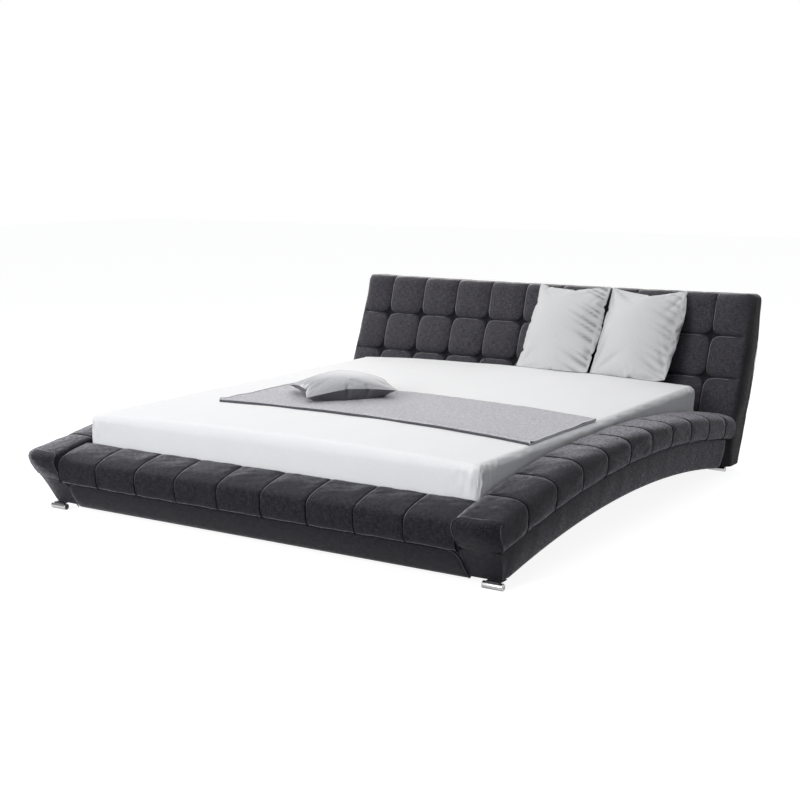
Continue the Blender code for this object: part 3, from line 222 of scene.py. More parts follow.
@dataclass
class Skin:
    """A surface put together from grids of points, with cloth coordinates and creases."""

    name: str
    points: list[Array] = field(default_factory=list)
    cloth: list[Array] = field(default_factory=list)
    crease: list[Array] = field(default_factory=list)
    faces: list[Array] = field(default_factory=list)
    count: int = 0

    def add(self, points: Array, crease: Array | float = 0.0, cloth: Array | None = None) -> "Skin":
        """Add one grid.

        Args:
            points: rows by columns by 3.
            crease: how much each point lies in a crease, from 0 to 1.
            cloth: rows by columns by 2, in metres. The grid's own lengths if left out.

        Returns:
            The skin, so that calls can follow each other.
        """
        rows, columns = points.shape[:2]
        index = np.arange(rows * columns).reshape(rows, columns) + self.count
        quads = np.stack([index[:-1, :-1], index[:-1, 1:], index[1:, 1:], index[1:, :-1]], axis=-1)
        self.faces.append(quads.reshape(-1, 4))
        self.points.append(points.reshape(-1, 3))
        self.cloth.append((arc_lengths(points) if cloth is None else cloth).reshape(-1, 2))
        self.crease.append(np.broadcast_to(crease, (rows, columns)).reshape(-1))
        self.count += rows * columns
        return self

    def add_slab(self, front: Array, back: Array, crease: Array | float = 0.0, steps: int = 1) -> "Skin":
        """Add a closed body between two matching grids.

        Args:
            front: the face that shows.
            back: the face behind it, with as many rows and columns.
            crease: creases of the front.
            steps: how many strips close each edge.

        Returns:
            The skin, so that calls can follow each other.
        """
        self.add(front, crease).add(back)
        for pick in (np.s_[0], np.s_[-1], np.s_[:, 0], np.s_[:, -1]):
            self.bridge(front[pick], back[pick], steps)
        return self

    def bridge(self, first: Array, second: Array, steps: int = 1) -> "Skin":
        """Add strips from one line of points to another of the same count."""
        shares = np.linspace(0.0, 1.0, steps + 1)[:, None, None]
        return self.add(mix(first[None], second[None], shares))

    def build(self, material: Material, closed: bool = True) -> Piece:
        """Merge the grids and return them as one smooth object.

        Args:
            material: the finish of every face.
            closed: whether the faces should be turned to look outwards.

        Returns:
            The object, linked to the scene.
        """
        mesh = bpy.data.meshes.new(self.name)
        points = np.concatenate(self.points)
        faces = np.concatenate(self.faces)
        mesh.from_pydata(points.tolist(), [], faces.tolist())
        layer = mesh.uv_layers.new(name=Weave.CLOTH.value)
        corners = np.zeros(len(mesh.loops), np.int32)
        mesh.loops.foreach_get("vertex_index", corners)
        layer.uv.foreach_set("vector", np.concatenate(self.cloth)[corners].astype(np.float32).ravel())
        # Painted shade: this mark darkens the cloth in seams and folds, by each fabric's crease setting.
        mark = mesh.attributes.new("crease_mark", "FLOAT", "POINT")
        mark.data.foreach_set("value", np.concatenate(self.crease).astype(np.float32))
        bm = bmesh.new()
        bm.from_mesh(mesh)
        bmesh.ops.remove_doubles(bm, verts=bm.verts, dist=MERGE_DISTANCE)
        bmesh.ops.dissolve_degenerate(bm, dist=MERGE_DISTANCE, edges=bm.edges)
        if closed:
            bmesh.ops.recalc_face_normals(bm, faces=bm.faces)
        bm.to_mesh(mesh)
        bm.free()
        return place_mesh(self.name, mesh, material)


def place_mesh(name: str, mesh: bpy.types.Mesh, material: Material) -> Piece:
    """Shade a mesh smooth between its sharp edges and link it as an object."""
    mesh.shade_smooth()
    mesh.set_sharp_from_angle(angle=SHARP_ANGLE)
    mesh.materials.clear()
    mesh.materials.append(material)
    made = bpy.data.objects.new(name, mesh)
    bpy.context.scene.collection.objects.link(made)
    return made


def points_of(piece: Piece) -> Array:
    """Return a mesh object's own points."""
    points = np.zeros(len(piece.data.vertices) * 3)
    piece.data.vertices.foreach_get("co", points)
    return points.reshape(-1, 3)


def set_points(piece: Piece, points: Array) -> None:
    """Move a mesh object's own points."""
    piece.data.vertices.foreach_set("co", points.ravel())
    piece.data.update()


def soften(piece: Piece, seed: int, size: float, depth: float) -> None:
    """Push a mesh's points in and out along their normals, as uneven filling does.

    Args:
        piece: the mesh object.
        seed: which uneven field.
        size: the rough distance from one dent to the next.
        depth: how far a point may move.
    """
    normals = np.zeros(len(piece.data.vertices) * 3)
    piece.data.vertices.foreach_get("normal", normals)
    points = points_of(piece)
    set_points(piece, points + normals.reshape(-1, 3) * (ripple(points, seed, size) * depth / 2)[:, None])


def tube(name: str, paths: Sequence[Array], radius: float | Array, material: Material,
         sides: int = 6) -> Piece:
    """Make round strands along several lines of points, as one object.

    Args:
        name: the object's name.
        paths: one array of points for each strand.
        radius: the strands' radius, or one radius for each point of a path.
        material: their finish.
        sides: how many sides a strand has.

    Returns:
        The object.
    """
    skin = Skin(name)
    turns = np.linspace(0.0, math.tau, sides + 1)
    for path in paths:
        along = np.gradient(path, axis=0)
        along /= np.linalg.norm(along, axis=1)[:, None] + 1e-12
        helper = np.where(np.abs(along[:, 2:3]) > 0.9, [[1.0, 0.0, 0.0]], [[0.0, 0.0, 1.0]])
        across = np.cross(along, helper)
        across /= np.linalg.norm(across, axis=1)[:, None]
        upwards = np.cross(across, along)
        cos, sin = np.cos(turns)[None, :, None], np.sin(turns)[None, :, None]
        ring = cos * across[:, None] + sin * upwards[:, None]
        grid = path[:, None] + ring * np.reshape(radius, (-1, 1, 1))
        skin.add(grid)
        for end in (0, -1):
            skin.add(np.stack([grid[end], np.broadcast_to(path[end], grid[end].shape)]))
    return skin.build(material)


def block_faces(cuts: tuple[Array, Array, Array]) -> Iterator[tuple[str, Array, Array, Array]]:
    """Yield each face of a unit cube, cut at shares of its three axes.

    Args:
        cuts: the shares along each axis, with 0 and 1.

    Yields:
        The face's name and the shares of its points along the three axes.
    """
    for axis, (low, high) in enumerate((("left", "right"), ("front", "back"), ("bottom", "top"))):
        first, second = (cuts[k] for k in range(3) if k != axis)
        grid = np.meshgrid(first, second, indexing="ij")
        for name, value in ((low, 0.0), (high, 1.0)):
            shares = [*grid]
            shares.insert(axis, np.full(grid[0].shape, value))
            yield name, *shares


# Shader nodes


class Bench:
    """Adds nodes to one tree and joins them."""

    def __init__(self, tree: bpy.types.NodeTree) -> None:
        """Start with the tree empty."""
        self.tree = tree
        tree.nodes.clear()

    def add(self, kind: str, inputs: dict | None = None, **settings: object) -> bpy.types.Node:
        """Add a node.

        Args:
            kind: the node's type, without its ShaderNode.
            inputs: values or sockets for its inputs.
            settings: its own properties.

        Returns:
            The node.
        """
        node = self.tree.nodes.new(kind if kind.startswith("Node") else f"ShaderNode{kind}")
        for key, value in settings.items():
            setattr(node, key, value)
        for key, value in (inputs or {}).items():
            self.feed(node.inputs[key], value)
        return node

    def feed(self, socket: Socket, value: object) -> None:
        """Give a socket a value, a colour or another node's output."""
        if isinstance(value, Socket):
            self.tree.links.new(value, socket)
        elif socket.type == "RGBA" and len(value) == 3:
            socket.default_value = (*value, 1.0)
        else:
            socket.default_value = value

    def math(self, operation: str, first: object, second: object = 0.0, clamp: bool = False) -> Socket:
        """Add a Math node and return its result."""
        node = self.add("Math", {0: first, 1: second}, operation=operation, use_clamp=clamp)
        return node.outputs[0]

    def blend(self, share: object, first: object, second: object, kind: str = "MIX") -> Socket:
        """Add a colour Mix node and return its result."""
        node = self.add("Mix", {0: share, 6: first, 7: second}, data_type="RGBA", blend_type=kind)
        return node.outputs[2]

    def choose(self, share: object, first: object, second: object) -> Socket:
        """Add a Mix node for values and return its result."""
        return self.add("Mix", {0: share, 2: first, 3: second}, data_type="FLOAT").outputs[0]

    def stretched(self, vector: Socket, by: object) -> Socket:
        """Return a vector times a factor on each axis."""
        return self.add("VectorMath", {0: vector, 1: by}, operation="MULTIPLY").outputs[0]

    def noise(self, vector: Socket, scale: float = 1.0, detail: float = 2.0) -> Socket:
        """Return an even noise value at a place."""
        node = self.add("TexNoise", {"Vector": vector, "Scale": scale, "Detail": detail})
        return node.outputs[0]

    def around(self, value: Socket, low: float, high: float) -> Socket:
        """Spread a noise value between its usual ends and clamp it from 0 to 1."""
        node = self.add("MapRange", {"Value": value, "From Min": low, "From Max": high})
        return node.outputs[0]


@dataclass(frozen=True)
class Effect:
    """A shared surface effect: a node group with named inputs and outputs."""

    name: str
    inputs: tuple[tuple[str, str, object], ...]
    outputs: tuple[tuple[str, str], ...]
    wire: Callable[[Bench, dict[str, Socket]], dict[str, Socket]]

    def group(self) -> bpy.types.NodeTree:
        """Return the group, built the first time it is asked for."""
        found = bpy.data.node_groups.get(self.name)
        if found:
            return found
        made = bpy.data.node_groups.new(self.name, "ShaderNodeTree")
        for label, kind, value in self.inputs:
            socket = made.interface.new_socket(name=label, in_out="INPUT", socket_type=f"NodeSocket{kind}")
            socket.default_value = (*value, 1.0) if kind == "Color" else value
        for label, kind in self.outputs:
            made.interface.new_socket(name=label, in_out="OUTPUT", socket_type=f"NodeSocket{kind}")
        bench = Bench(made)
        entry = bench.add("NodeGroupInput")
        leave = bench.add("NodeGroupOutput")
        for label, socket in self.wire(bench, {s.name: s for s in entry.outputs if s.name}).items():
            made.links.new(socket, leave.inputs[label])
        return made

    def place(self, bench: Bench, inputs: dict[str, object]) -> dict[str, Socket]:
        """Put the group in a material.

        Args:
            bench: the material's bench.
            inputs: values or sockets for the group's inputs.

        Returns:
            The group's outputs by name.
        """
        node = bench.add("Group", node_tree=self.group())
        for label, value in inputs.items():
            bench.feed(node.inputs[label], value)
        return {socket.name: socket for socket in node.outputs}


def wire_weave(bench: Bench, given: dict[str, Socket]) -> dict[str, Socket]:
    """Wire a plain weave of slubby, heathered threads.

    Args:
        bench: the group's bench.
        given: the group's inputs by name.

    Returns:
        The group's outputs by name.
    """
    cloth = given["Cloth"]
    split = bench.add("SeparateXYZ", {0: cloth})
    beat = bench.math("DIVIDE", math.pi, given["Pitch"])
    warp_wave = bench.math("SINE", bench.math("MULTIPLY", split.outputs[0], beat))
    weft_wave = bench.math("SINE", bench.math("MULTIPLY", split.outputs[1], beat))
    over = bench.math("GREATER_THAN", bench.math("MULTIPLY", warp_wave, weft_wave), 0.0)
    thread = bench.choose(over, bench.math("ABSOLUTE", warp_wave), bench.math("ABSOLUTE", weft_wave))
    slub_up = bench.noise(bench.stretched(cloth, (210.0, 44.0, 1.0)), 1.0, 3.0)
    slub_across = bench.noise(bench.stretched(cloth, (44.0, 210.0, 1.0)), 1.0, 3.0)
    fibre_up = bench.noise(bench.stretched(cloth, (1400.0, 90.0, 1.0)))
    fibre_across = bench.noise(bench.stretched(cloth, (90.0, 1400.0, 1.0)))
    slub = bench.math("ADD", bench.math("MULTIPLY", slub_up, 0.5), bench.math("MULTIPLY", slub_across, 0.5))
    fibre = bench.choose(over, fibre_up, fibre_across)
    mottle = bench.math("ADD", bench.math("MULTIPLY", slub, 0.65), bench.math("MULTIPLY", fibre, 0.35))
    pale = bench.math("MULTIPLY", bench.around(mottle, 0.5, 0.60), given["Heather"])
    deep = bench.math("MULTIPLY", bench.around(mottle, 0.5, 0.41), given["Heather"])
    colour = bench.blend(pale, given["Middle"], given["Light"])
    colour = bench.blend(deep, colour, given["Dark"])
    tone = bench.around(bench.noise(cloth, 7.0, 3.0), 0.3, 0.7)
    colour = bench.blend(bench.math("MULTIPLY", tone, 0.14), colour, given["Dark"])
    height = bench.math("ADD", bench.math("MULTIPLY", thread, 0.6), bench.math("MULTIPLY", mottle, 0.8))
    rough = bench.add("MapRange", {
        "Value": mottle, "From Min": 0.3, "From Max": 0.7, "To Min": 0.05, "To Max": -0.05})
    return {
        "Color": colour,
        "Roughness": bench.math("ADD", given["Roughness"], rough.outputs[0], clamp=True),
        "Height": bench.math("MULTIPLY", height, given["Relief"]),
    }


def wire_crease(bench: Bench, given: dict[str, Socket]) -> dict[str, Socket]:
    """Wire painted shade deep in seams and folds, and paler worn patches at random."""
    deep = bench.math("MULTIPLY", given["Crease"], given["Depth"], clamp=True)
    shade = bench.blend(1.0, given["Color"], (0.16, 0.15, 0.17), "MULTIPLY")
    worn = bench.blend(1.0, given["Color"], (1.35, 1.35, 1.35), "MULTIPLY")
    patch = bench.around(bench.noise(given["Cloth"], 34.0, 4.0), 0.52, 0.8)
    colour = bench.blend(bench.math("MULTIPLY", patch, given["Wear"]), given["Color"], worn)
    return {"Color": bench.blend(deep, colour, shade)}


def wire_grain(bench: Bench, given: dict[str, Socket]) -> dict[str, Socket]:
    """Wire timber: rings drawn out along the board, pores and slow changes of tone."""
    drawn = bench.stretched(given["Place"], given["Stretch"])
    bend = bench.noise(drawn, 1.3, 3.0)
    rings = bench.add("TexNoise", {"Vector": drawn, "Scale": 6.0, "Detail": 5.0, "Distortion": 1.2})
    band = bench.around(rings.outputs[0], 0.36, 0.66)
    pores = bench.around(bench.noise(bench.stretched(drawn, (9.0, 9.0, 9.0)), 6.0), 0.62, 0.74)
    colour = bench.blend(band, given["Light"], given["Dark"])
    colour = bench.blend(bench.math("MULTIPLY", bend, 0.3), colour, given["Dark"])
    colour = bench.blend(bench.math("MULTIPLY", pores, 0.35), colour, (0.09, 0.05, 0.03))
    rough = bench.add("MapRange", {"Value": band, "To Min": 0.5, "To Max": 0.68})
    return {"Color": colour, "Roughness": rough.outputs[0],
            "Height": bench.math("SUBTRACT", bench.math("MULTIPLY", band, 0.4), pores)}


def wire_wear(bench: Bench, given: dict[str, Socket]) -> dict[str, Socket]:
    """Wire smudges, dust and fine scratches on metal and plastic, and dark streaks that paint reflections."""
    smudge = bench.around(bench.noise(given["Place"], 60.0, 4.0), 0.42, 0.7)
    lines = bench.noise(bench.stretched(given["Place"], (40.0, 900.0, 900.0)), 1.0, 2.0)
    scratch = bench.around(lines, 0.6, 0.75)
    rough = bench.math("ADD", given["Roughness"], bench.math("MULTIPLY", smudge, given["Wear"]))
    dusty = bench.math("MULTIPLY", smudge, given["Dust"])
    # Painted reflection: dark streaks along X stand in for the dark bed reflected in the chrome bars.
    streaks = bench.noise(bench.stretched(given["Place"], (3.0, 120.0, 120.0)), 1.0, 1.0)
    drawn = bench.around(streaks, 0.40, 0.58)
    deep = bench.blend(1.0, given["Color"], (0.16, 0.16, 0.17), "MULTIPLY")
    plated = bench.blend(bench.math("MULTIPLY", drawn, given["Streak"]), given["Color"], deep)
    return {"Color": bench.blend(dusty, plated, (0.45, 0.44, 0.43)),
            "Roughness": bench.math("ADD", rough, bench.math("MULTIPLY", scratch, 0.05), clamp=True),
            "Height": bench.math("ADD", bench.math("MULTIPLY", smudge, 0.3), scratch)}


WEAVE_EFFECT = Effect(
    "woven_threads",
    (("Cloth", "Vector", (0.0, 0.0, 0.0)), ("Pitch", "Float", 0.001), ("Dark", "Color", (0.1, 0.1, 0.1)),
     ("Middle", "Color", (0.2, 0.2, 0.2)), ("Light", "Color", (0.3, 0.3, 0.3)), ("Heather", "Float", 0.5),
     ("Roughness", "Float", 0.9), ("Relief", "Float", 1.0)),
    (("Color", "Color"), ("Roughness", "Float"), ("Height", "Float")), wire_weave)
CREASE_SHADE_EFFECT = Effect(
    "sewn_creases",
    (("Cloth", "Vector", (0.0, 0.0, 0.0)), ("Color", "Color", (0.5, 0.5, 0.5)), ("Crease", "Float", 0.0),
     ("Depth", "Float", 0.8), ("Wear", "Float", 0.1)),
    (("Color", "Color"),), wire_crease)
GRAIN_EFFECT = Effect(
    "board_grain",
    (("Place", "Vector", (0.0, 0.0, 0.0)), ("Stretch", "Vector", (1.0, 1.0, 1.0)),
     ("Light", "Color", (0.6, 0.45, 0.3)), ("Dark", "Color", (0.4, 0.27, 0.15))),
    (("Color", "Color"), ("Roughness", "Float"), ("Height", "Float")), wire_grain)
WEAR_AND_REFLECTION_EFFECT = Effect(
    "handling_marks",
    (("Place", "Vector", (0.0, 0.0, 0.0)), ("Color", "Color", (0.5, 0.5, 0.5)), ("Roughness", "Float", 0.3),
     ("Wear", "Float", 0.15), ("Dust", "Float", 0.1), ("Streak", "Float", 0.0)),
    (("Color", "Color"), ("Roughness", "Float"), ("Height", "Float")), wire_wear)


# Finishes


def start_material(name: str) -> tuple[Material, Bench, bpy.types.Node]:
    """Return a new material, its bench and its Principled node, joined to the output."""
    material = bpy.data.materials.new(name)
    material.use_nodes = True
    bench = Bench(material.node_tree)
    shader = bench.add("BsdfPrincipled")
    bench.add("OutputMaterial", {0: shader.outputs[0]})
    return material, bench, shader


def dress_shader(bench: Bench, shader: bpy.types.Node, colour: Socket, made: dict[str, Socket],
                 distance: float, strength: float) -> None:
    """Feed a shader its colour, its roughness and the bump of its relief.

    Args:
        bench: the material's bench.
        shader: its Principled node.
        colour: the surface's colour.
        made: the effect's outputs, with Roughness and Height.
        distance: how high the relief stands, in metres.
        strength: how strongly it shows.
    """
    bump = bench.add("Bump", {"Height": made["Height"], "Distance": distance, "Strength": strength})
    feeds = {"Base Color": colour, "Roughness": made["Roughness"], "Normal": bump.outputs[0]}
    for name, value in feeds.items():
        bench.feed(shader.inputs[name], value)


@dataclass(frozen=True)
class Fabric:
    """A woven cloth: its threads and colours, a painted sheen highlight, and painted shade in creases and on
    the sides.
    """

    name: str
    dark: Colour
    middle: Colour
    light: Colour
    pitch: float
    heather: float
    roughness: float
    relief: float
    bump: float
    sheen: float
    specular: float
    # crease: how much the crease mark darkens the cloth, painted shade in seams and folds.
    crease: float = 0.0
    wear: float = 0.0
    bloom: float = 0.0
    dark_sides: bool = False
    weave: Weave = Weave.CLOTH

    def build(self) -> Material:
        """Return the cloth's material. With a painted sheen it is paler where it is seen at a glancing angle,
        a highlight painted into its colour.
        """
        material, bench, shader = start_material(self.name)
        if self.weave is Weave.CLOTH:
            cloth = bench.add("UVMap", uv_map=Weave.CLOTH.value).outputs[0]
        else:
            place = bench.add("SeparateXYZ", {0: bench.add("TexCoord").outputs["Object"]})
            cloth = bench.add("CombineXYZ", {0: place.outputs[0], 1: place.outputs[2]}).outputs[0]
        woven = WEAVE_EFFECT.place(bench, {
            "Cloth": cloth, "Pitch": self.pitch, "Dark": self.dark, "Middle": self.middle,
            "Light": self.light, "Heather": self.heather, "Roughness": self.roughness,
            "Relief": self.relief})
        colour = woven["Color"]
        # Painted shade: the cloth darkens in seams and folds by the crease mark; its wear adds paler patches
        # at random.
        if self.crease or self.wear:
            mark = bench.add("Attribute", attribute_name="crease_mark").outputs["Fac"]
            colour = CREASE_SHADE_EFFECT.place(bench, {
                "Cloth": cloth, "Color": colour, "Crease": mark, "Depth": self.crease,
                "Wear": self.wear})["Color"]
        # Painted sheen highlight: Layer Weight makes the colour paler at glancing angles.
        if self.bloom:
            glance = bench.add("LayerWeight", {"Blend": 0.5}).outputs["Facing"]
            painted_sheen_share = bench.math("POWER", bench.around(glance, *PAINTED_SHEEN_RANGE), PAINTED_SHEEN_POWER)
            tint = (self.bloom, self.bloom, self.bloom * PAINTED_SHEEN_BLUE)
            colour = bench.blend(painted_sheen_share, colour, bench.blend(1.0, colour, tint, "MULTIPLY"))
        # Painted shade: the pad's outer sides darken toward near-black by their width.
        if self.dark_sides:
            place = bench.add("SeparateXYZ", {0: bench.add("TexCoord").outputs["Object"]})
            beside = bench.around(bench.math("ABSOLUTE", place.outputs[0]), *PAINTED_SIDE_SHADE_SPAN)
            colour = bench.blend(beside, colour, PAINTED_SIDE_SHADE_COLOUR)
        dress_shader(bench, shader, colour, woven, self.bump, 0.7)
        shader.inputs["Sheen Weight"].default_value = self.sheen
        shader.inputs["Sheen Roughness"].default_value = 0.45
        shader.inputs["Specular IOR Level"].default_value = self.specular
        return material


@dataclass(frozen=True)
class Timber:
    """Sawn wood with its grain along one axis."""

    name: str
    light: Colour
    dark: Colour
    grain: Grain

    def build(self) -> Material:
        """Return the wood's material."""
        material, bench, shader = start_material(self.name)
        place = bench.add("TexCoord").outputs["Object"]
        board = GRAIN_EFFECT.place(bench, {
            "Place": place, "Stretch": self.grain.value, "Light": self.light, "Dark": self.dark})
        dress_shader(bench, shader, board["Color"], board, 0.0003, 0.5)
        return material


@dataclass(frozen=True)
class Hard:
    """Metal or plastic with marks from handling, and on chrome dark streaks that paint reflections."""

    name: str
    colour: Colour
    roughness: float
    metallic: float
    wear: float
    dust: float
    bump: float = 0.00005
    streak: float = 0.0

    def build(self) -> Material:
        """Return the hard finish's material."""
        material, bench, shader = start_material(self.name)
        place = bench.add("TexCoord").outputs["Object"]
        worn = WEAR_AND_REFLECTION_EFFECT.place(bench, {
            "Place": place, "Color": self.colour, "Roughness": self.roughness, "Wear": self.wear,
            "Dust": self.dust, "Streak": self.streak})
        dress_shader(bench, shader, worn["Color"], worn, self.bump, 0.4)
        shader.inputs["Metallic"].default_value = self.metallic
        return material


class Finishes:
    """Every material of the bed, built once."""

    def __init__(self) -> None:
        """Build the materials."""
        # The charcoal cloth: its last setting paints a sheen highlight at glancing angles, and its crease
        # setting paints shade in seams.
        self.charcoal = Fabric(
            "charcoal_linen", (0.0055, 0.0055, 0.008), (0.0140, 0.0135, 0.0185), (0.036, 0.035, 0.043),
            0.0015, 1.0, 0.60, 1.0, 0.0010, 0.11, 0.06, crease=0.9, wear=0.12, bloom=14.0).build()
        # A brighter copy of the charcoal cloth for the headboard pad: painted light, with painted shade on
        # its sides.
        self.charcoal_pad = Fabric(
            "charcoal_pad", (0.024, 0.0225, 0.028), (0.049, 0.046, 0.055), (0.088, 0.084, 0.095), 0.0015, 0.9,
            0.60, 1.0, 0.0008, 0.15, 0.07, crease=0.9, wear=0.12, bloom=5.0, dark_sides=True).build()
        # Welt strands, paler than the cloth so that they paint a highlight on sewn edges.
        self.welt = Fabric(
            "charcoal_welt", (0.060, 0.059, 0.068), (0.095, 0.093, 0.105), (0.150, 0.147, 0.162), 0.0008, 0.7,
            0.8, 1.0, 0.0003, 0.1, 0.1).build()
        # Near-black strands laid in seams: painted shade.
        self.shade = Fabric(
            "seam_shade", (0.002, 0.002, 0.003), (0.004, 0.004, 0.005), (0.008, 0.008, 0.009), 0.0008, 0.5,
            0.95, 1.0, 0.0003, 0.0, 0.02).build()
        # A dark roll along the throw's fold: painted shade under the folded edge.
        self.fold_shade = Fabric(
            "wool_fold", (0.060, 0.060, 0.068), (0.095, 0.094, 0.105), (0.140, 0.138, 0.150), 0.0010, 0.8,
            0.9, 1.0, 0.0005, 0.1, 0.1).build()
        self.lining = Fabric(
            "black_lining", (0.012, 0.012, 0.013), (0.022, 0.022, 0.024), (0.034, 0.034, 0.036), 0.0008, 0.5,
            0.92, 1.0, 0.0004, 0.03, 0.15, weave=Weave.UPRIGHT).build()
        self.percale = Fabric(
            "white_percale", (0.725, 0.725, 0.730), (0.795, 0.795, 0.795), (0.830, 0.830, 0.825), 0.0005,
            0.25, 0.8, 0.5, 0.0001, 0.0, 0.2, crease=0.10).build()
        # A darker copy of the white cotton for the pillows: painted shade, and its crease setting paints
        # shade in folds.
        self.pillow_cotton = Fabric(
            "white_cotton", (0.52, 0.52, 0.52), (0.575, 0.575, 0.575), (0.62, 0.62, 0.62), 0.0006, 0.3,
            0.72, 0.6, 0.00015, 0.05, 0.20, crease=0.62).build()
        self.runner_weave = Fabric(
            "grey_wool", (0.38, 0.37, 0.395), (0.53, 0.52, 0.545), (0.70, 0.69, 0.71), 0.0016, 0.9,
            0.9, 1.0, 0.0009, 0.15, 0.15, wear=0.15).build()
        self.hem = Fabric(
            "pale_hem", (0.68, 0.68, 0.69), (0.78, 0.78, 0.79), (0.86, 0.86, 0.86), 0.0009, 0.5,
            0.8, 1.0, 0.0005, 0.1, 0.2).build()
        self.satin = Fabric(
            "grey_satin", (0.25, 0.25, 0.265), (0.32, 0.32, 0.335), (0.38, 0.38, 0.39), 0.0004, 0.35,
            0.44, 0.35, 0.0001, 0.15, 0.50, crease=0.5).build()
        self.satin_back = Fabric(
            "dark_satin", (0.050, 0.050, 0.058), (0.075, 0.075, 0.085), (0.105, 0.105, 0.115), 0.0004, 0.35,
            0.40, 0.35, 0.0001, 0.15, 0.55).build()
        self.ticking = Fabric(
            "mattress_ticking", (0.60, 0.60, 0.58), (0.72, 0.72, 0.70), (0.80, 0.80, 0.78), 0.0009, 0.5,
            0.85, 1.0, 0.0005, 0.1, 0.2).build()
        # Pale strands: thread on the headboard's sides, and painted highlights beside the tufts and the foot
        # roll's seams.
        self.thread = Fabric(
            "pale_thread", (0.20, 0.20, 0.22), (0.29, 0.29, 0.31), (0.38, 0.38, 0.40), 0.0006, 0.6,
            0.6, 1.0, 0.0003, 0.1, 0.3).build()
        boards = ((0.60, 0.44, 0.27), (0.40, 0.26, 0.14))
        self.board_along = Timber("pine_along", *boards, Grain.ALONG).build()
        self.board_across = Timber("pine_across", *boards, Grain.ACROSS).build()
        self.board_upright = Timber("pine_upright", *boards, Grain.UPWARDS).build()
        self.slat = Timber("birch_slats", (0.72, 0.55, 0.36), (0.55, 0.38, 0.22), Grain.ACROSS).build()
        self.steel = Hard("black_steel", (0.03, 0.03, 0.032), 0.45, 0.6, 0.2, 0.12, 0.0001).build()
        # Chrome: its streaks paint dark reflections along the bars.
        self.chrome = Hard("chrome", (0.60, 0.60, 0.60), 0.16, 1.0, 0.10, 0.02, streak=0.85).build()
        self.plastic = Hard("black_plastic", (0.02, 0.02, 0.021), 0.45, 0.0, 0.15, 0.08, 0.0001).build()


def keep(piece: Piece, body: str, slot: str, nodes: Sequence[str] = ()) -> Piece:
    """Tie a finished piece to its body and report it.

    Args:
        piece: the finished object.
        body: the body that it rides on.
        slot: the record's material slot, which is not used here.
        nodes: the nodes that it stands for.

    Returns:
        The piece.
    """
    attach(piece, body)
    if nodes:
        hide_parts(*nodes)
    LOG.info("%s: %d faces on %s", piece.name, len(piece.data.polygons), body)
    return piece


# Upholstery


def sew(name: str, paths: Sequence[Array], radius: float | Array, material: Material,
        sides: int = 6) -> None:
    """Lay strands on the charcoal cloth, as tube does, and tie them to the frame."""
    keep(tube(name, paths, radius, material, sides), "frame", "charcoal_fabric")


def beside_seam(ring: Ring, out: float, plane: tuple[float, float, float]) -> Array:
    """Return a line over a roll, down its outer face and a little down its inner one.

    Args:
        ring: the roll's section, with its outer face first and its inner face second.
        out: how far the line stands off the cloth.
        plane: 1 for the two axes that the section lies in and 0 for the third.

    Returns:
        The line's points.
    """
    path = np.concatenate([ring[0][1:-1], ring[1][:-8:-1]])
    away = (path - path.mean(axis=0)) * plane
    return path + away / np.linalg.norm(away, axis=1)[:, None] * out


def roll_skin(name: str, sections: Sequence[Ring], creases: Sequence[float]) -> tuple[Skin, Array, Array]:
    """Start the skin of a channelled roll from its sections.

    Args:
        name: the object's name.
        sections: the outer face, inner face and underside at each place along the roll.
        creases: how deep each section lies in a seam.

    Returns:
        The skin, still open at its ends, and its outer and inner faces.
    """
    outer, inner, under = (np.stack([section[k] for section in sections]) for k in range(3))
    marks = np.array(creases)[:, None]
    skin = Skin(name).add(outer, marks).add(inner, marks).add(under)
    return skin, outer, inner


@dataclass(frozen=True)
class BolsterSection:
    """The section of a padded roll, in shares of its width and height."""

    seam: float
    notch: float
    board: float
    belly: float = 0.42
    crown: float = 0.30
    inner_side: float = 0.90
    points: int = 40

    def outline(self, belly: float, notched: bool,
                power: float = CROWN_POWER) -> tuple[Array, Array, Array, Array]:
        """Return the outer face, the inner face and the underside.

        Args:
            belly: the height share at which the roll is widest.
            notched: whether the underside steps up over the board.
            power: how square the shoulder is.

        Returns:
            The outer widths, the inner widths, their common heights, and the underside's
            points as width and height.
        """
        under = np.linspace(0.0, math.pi / 2, 60)
        upper = np.linspace(0.0, math.pi / 2, 200)[1:]
        across = np.concatenate([
            mix(self.seam, 1.0, np.sin(under) ** (2 / 3.0)),
            mix(self.crown, 1.0, np.abs(np.cos(upper)) ** (2 / power))])
        up = np.concatenate([
            belly * (1.0 - np.abs(np.cos(under)) ** (2 / 3.0)),
            mix(belly, 1.0, np.sin(upper) ** (2 / power))])
        run = np.concatenate([[0.0], np.cumsum(np.hypot(np.diff(across), np.diff(up)))])
        wanted = np.linspace(0.0, run[-1], self.points)
        across = np.interp(wanted, run, across)
        up = np.interp(wanted, run, up)
        rise = np.clip((up - self.inner_side) / (1.0 - self.inner_side), 0.0, 1.0)
        inner = self.crown * (1.0 - (1.0 - rise ** 3) ** (1 / 3))
        notch = self.notch if notched else 0.0
        under_side = [(self.seam, 0.0), (self.board, 0.0), (self.board, notch), (0.0, notch)]
        return across, inner, np.maximum(up, 0.0), np.array(under_side)

    def fullness(self, across: Array, up: Array) -> tuple[Array, Array]:
        """Return how far a swell moves points outwards and upwards."""
        outwards = np.maximum(0.0, across - self.crown) / (1.0 - self.crown)
        upwards = np.maximum(0.0, up - self.belly) / (1.0 - self.belly)
        return outwards * np.minimum(1.0, up / self.belly), upwards


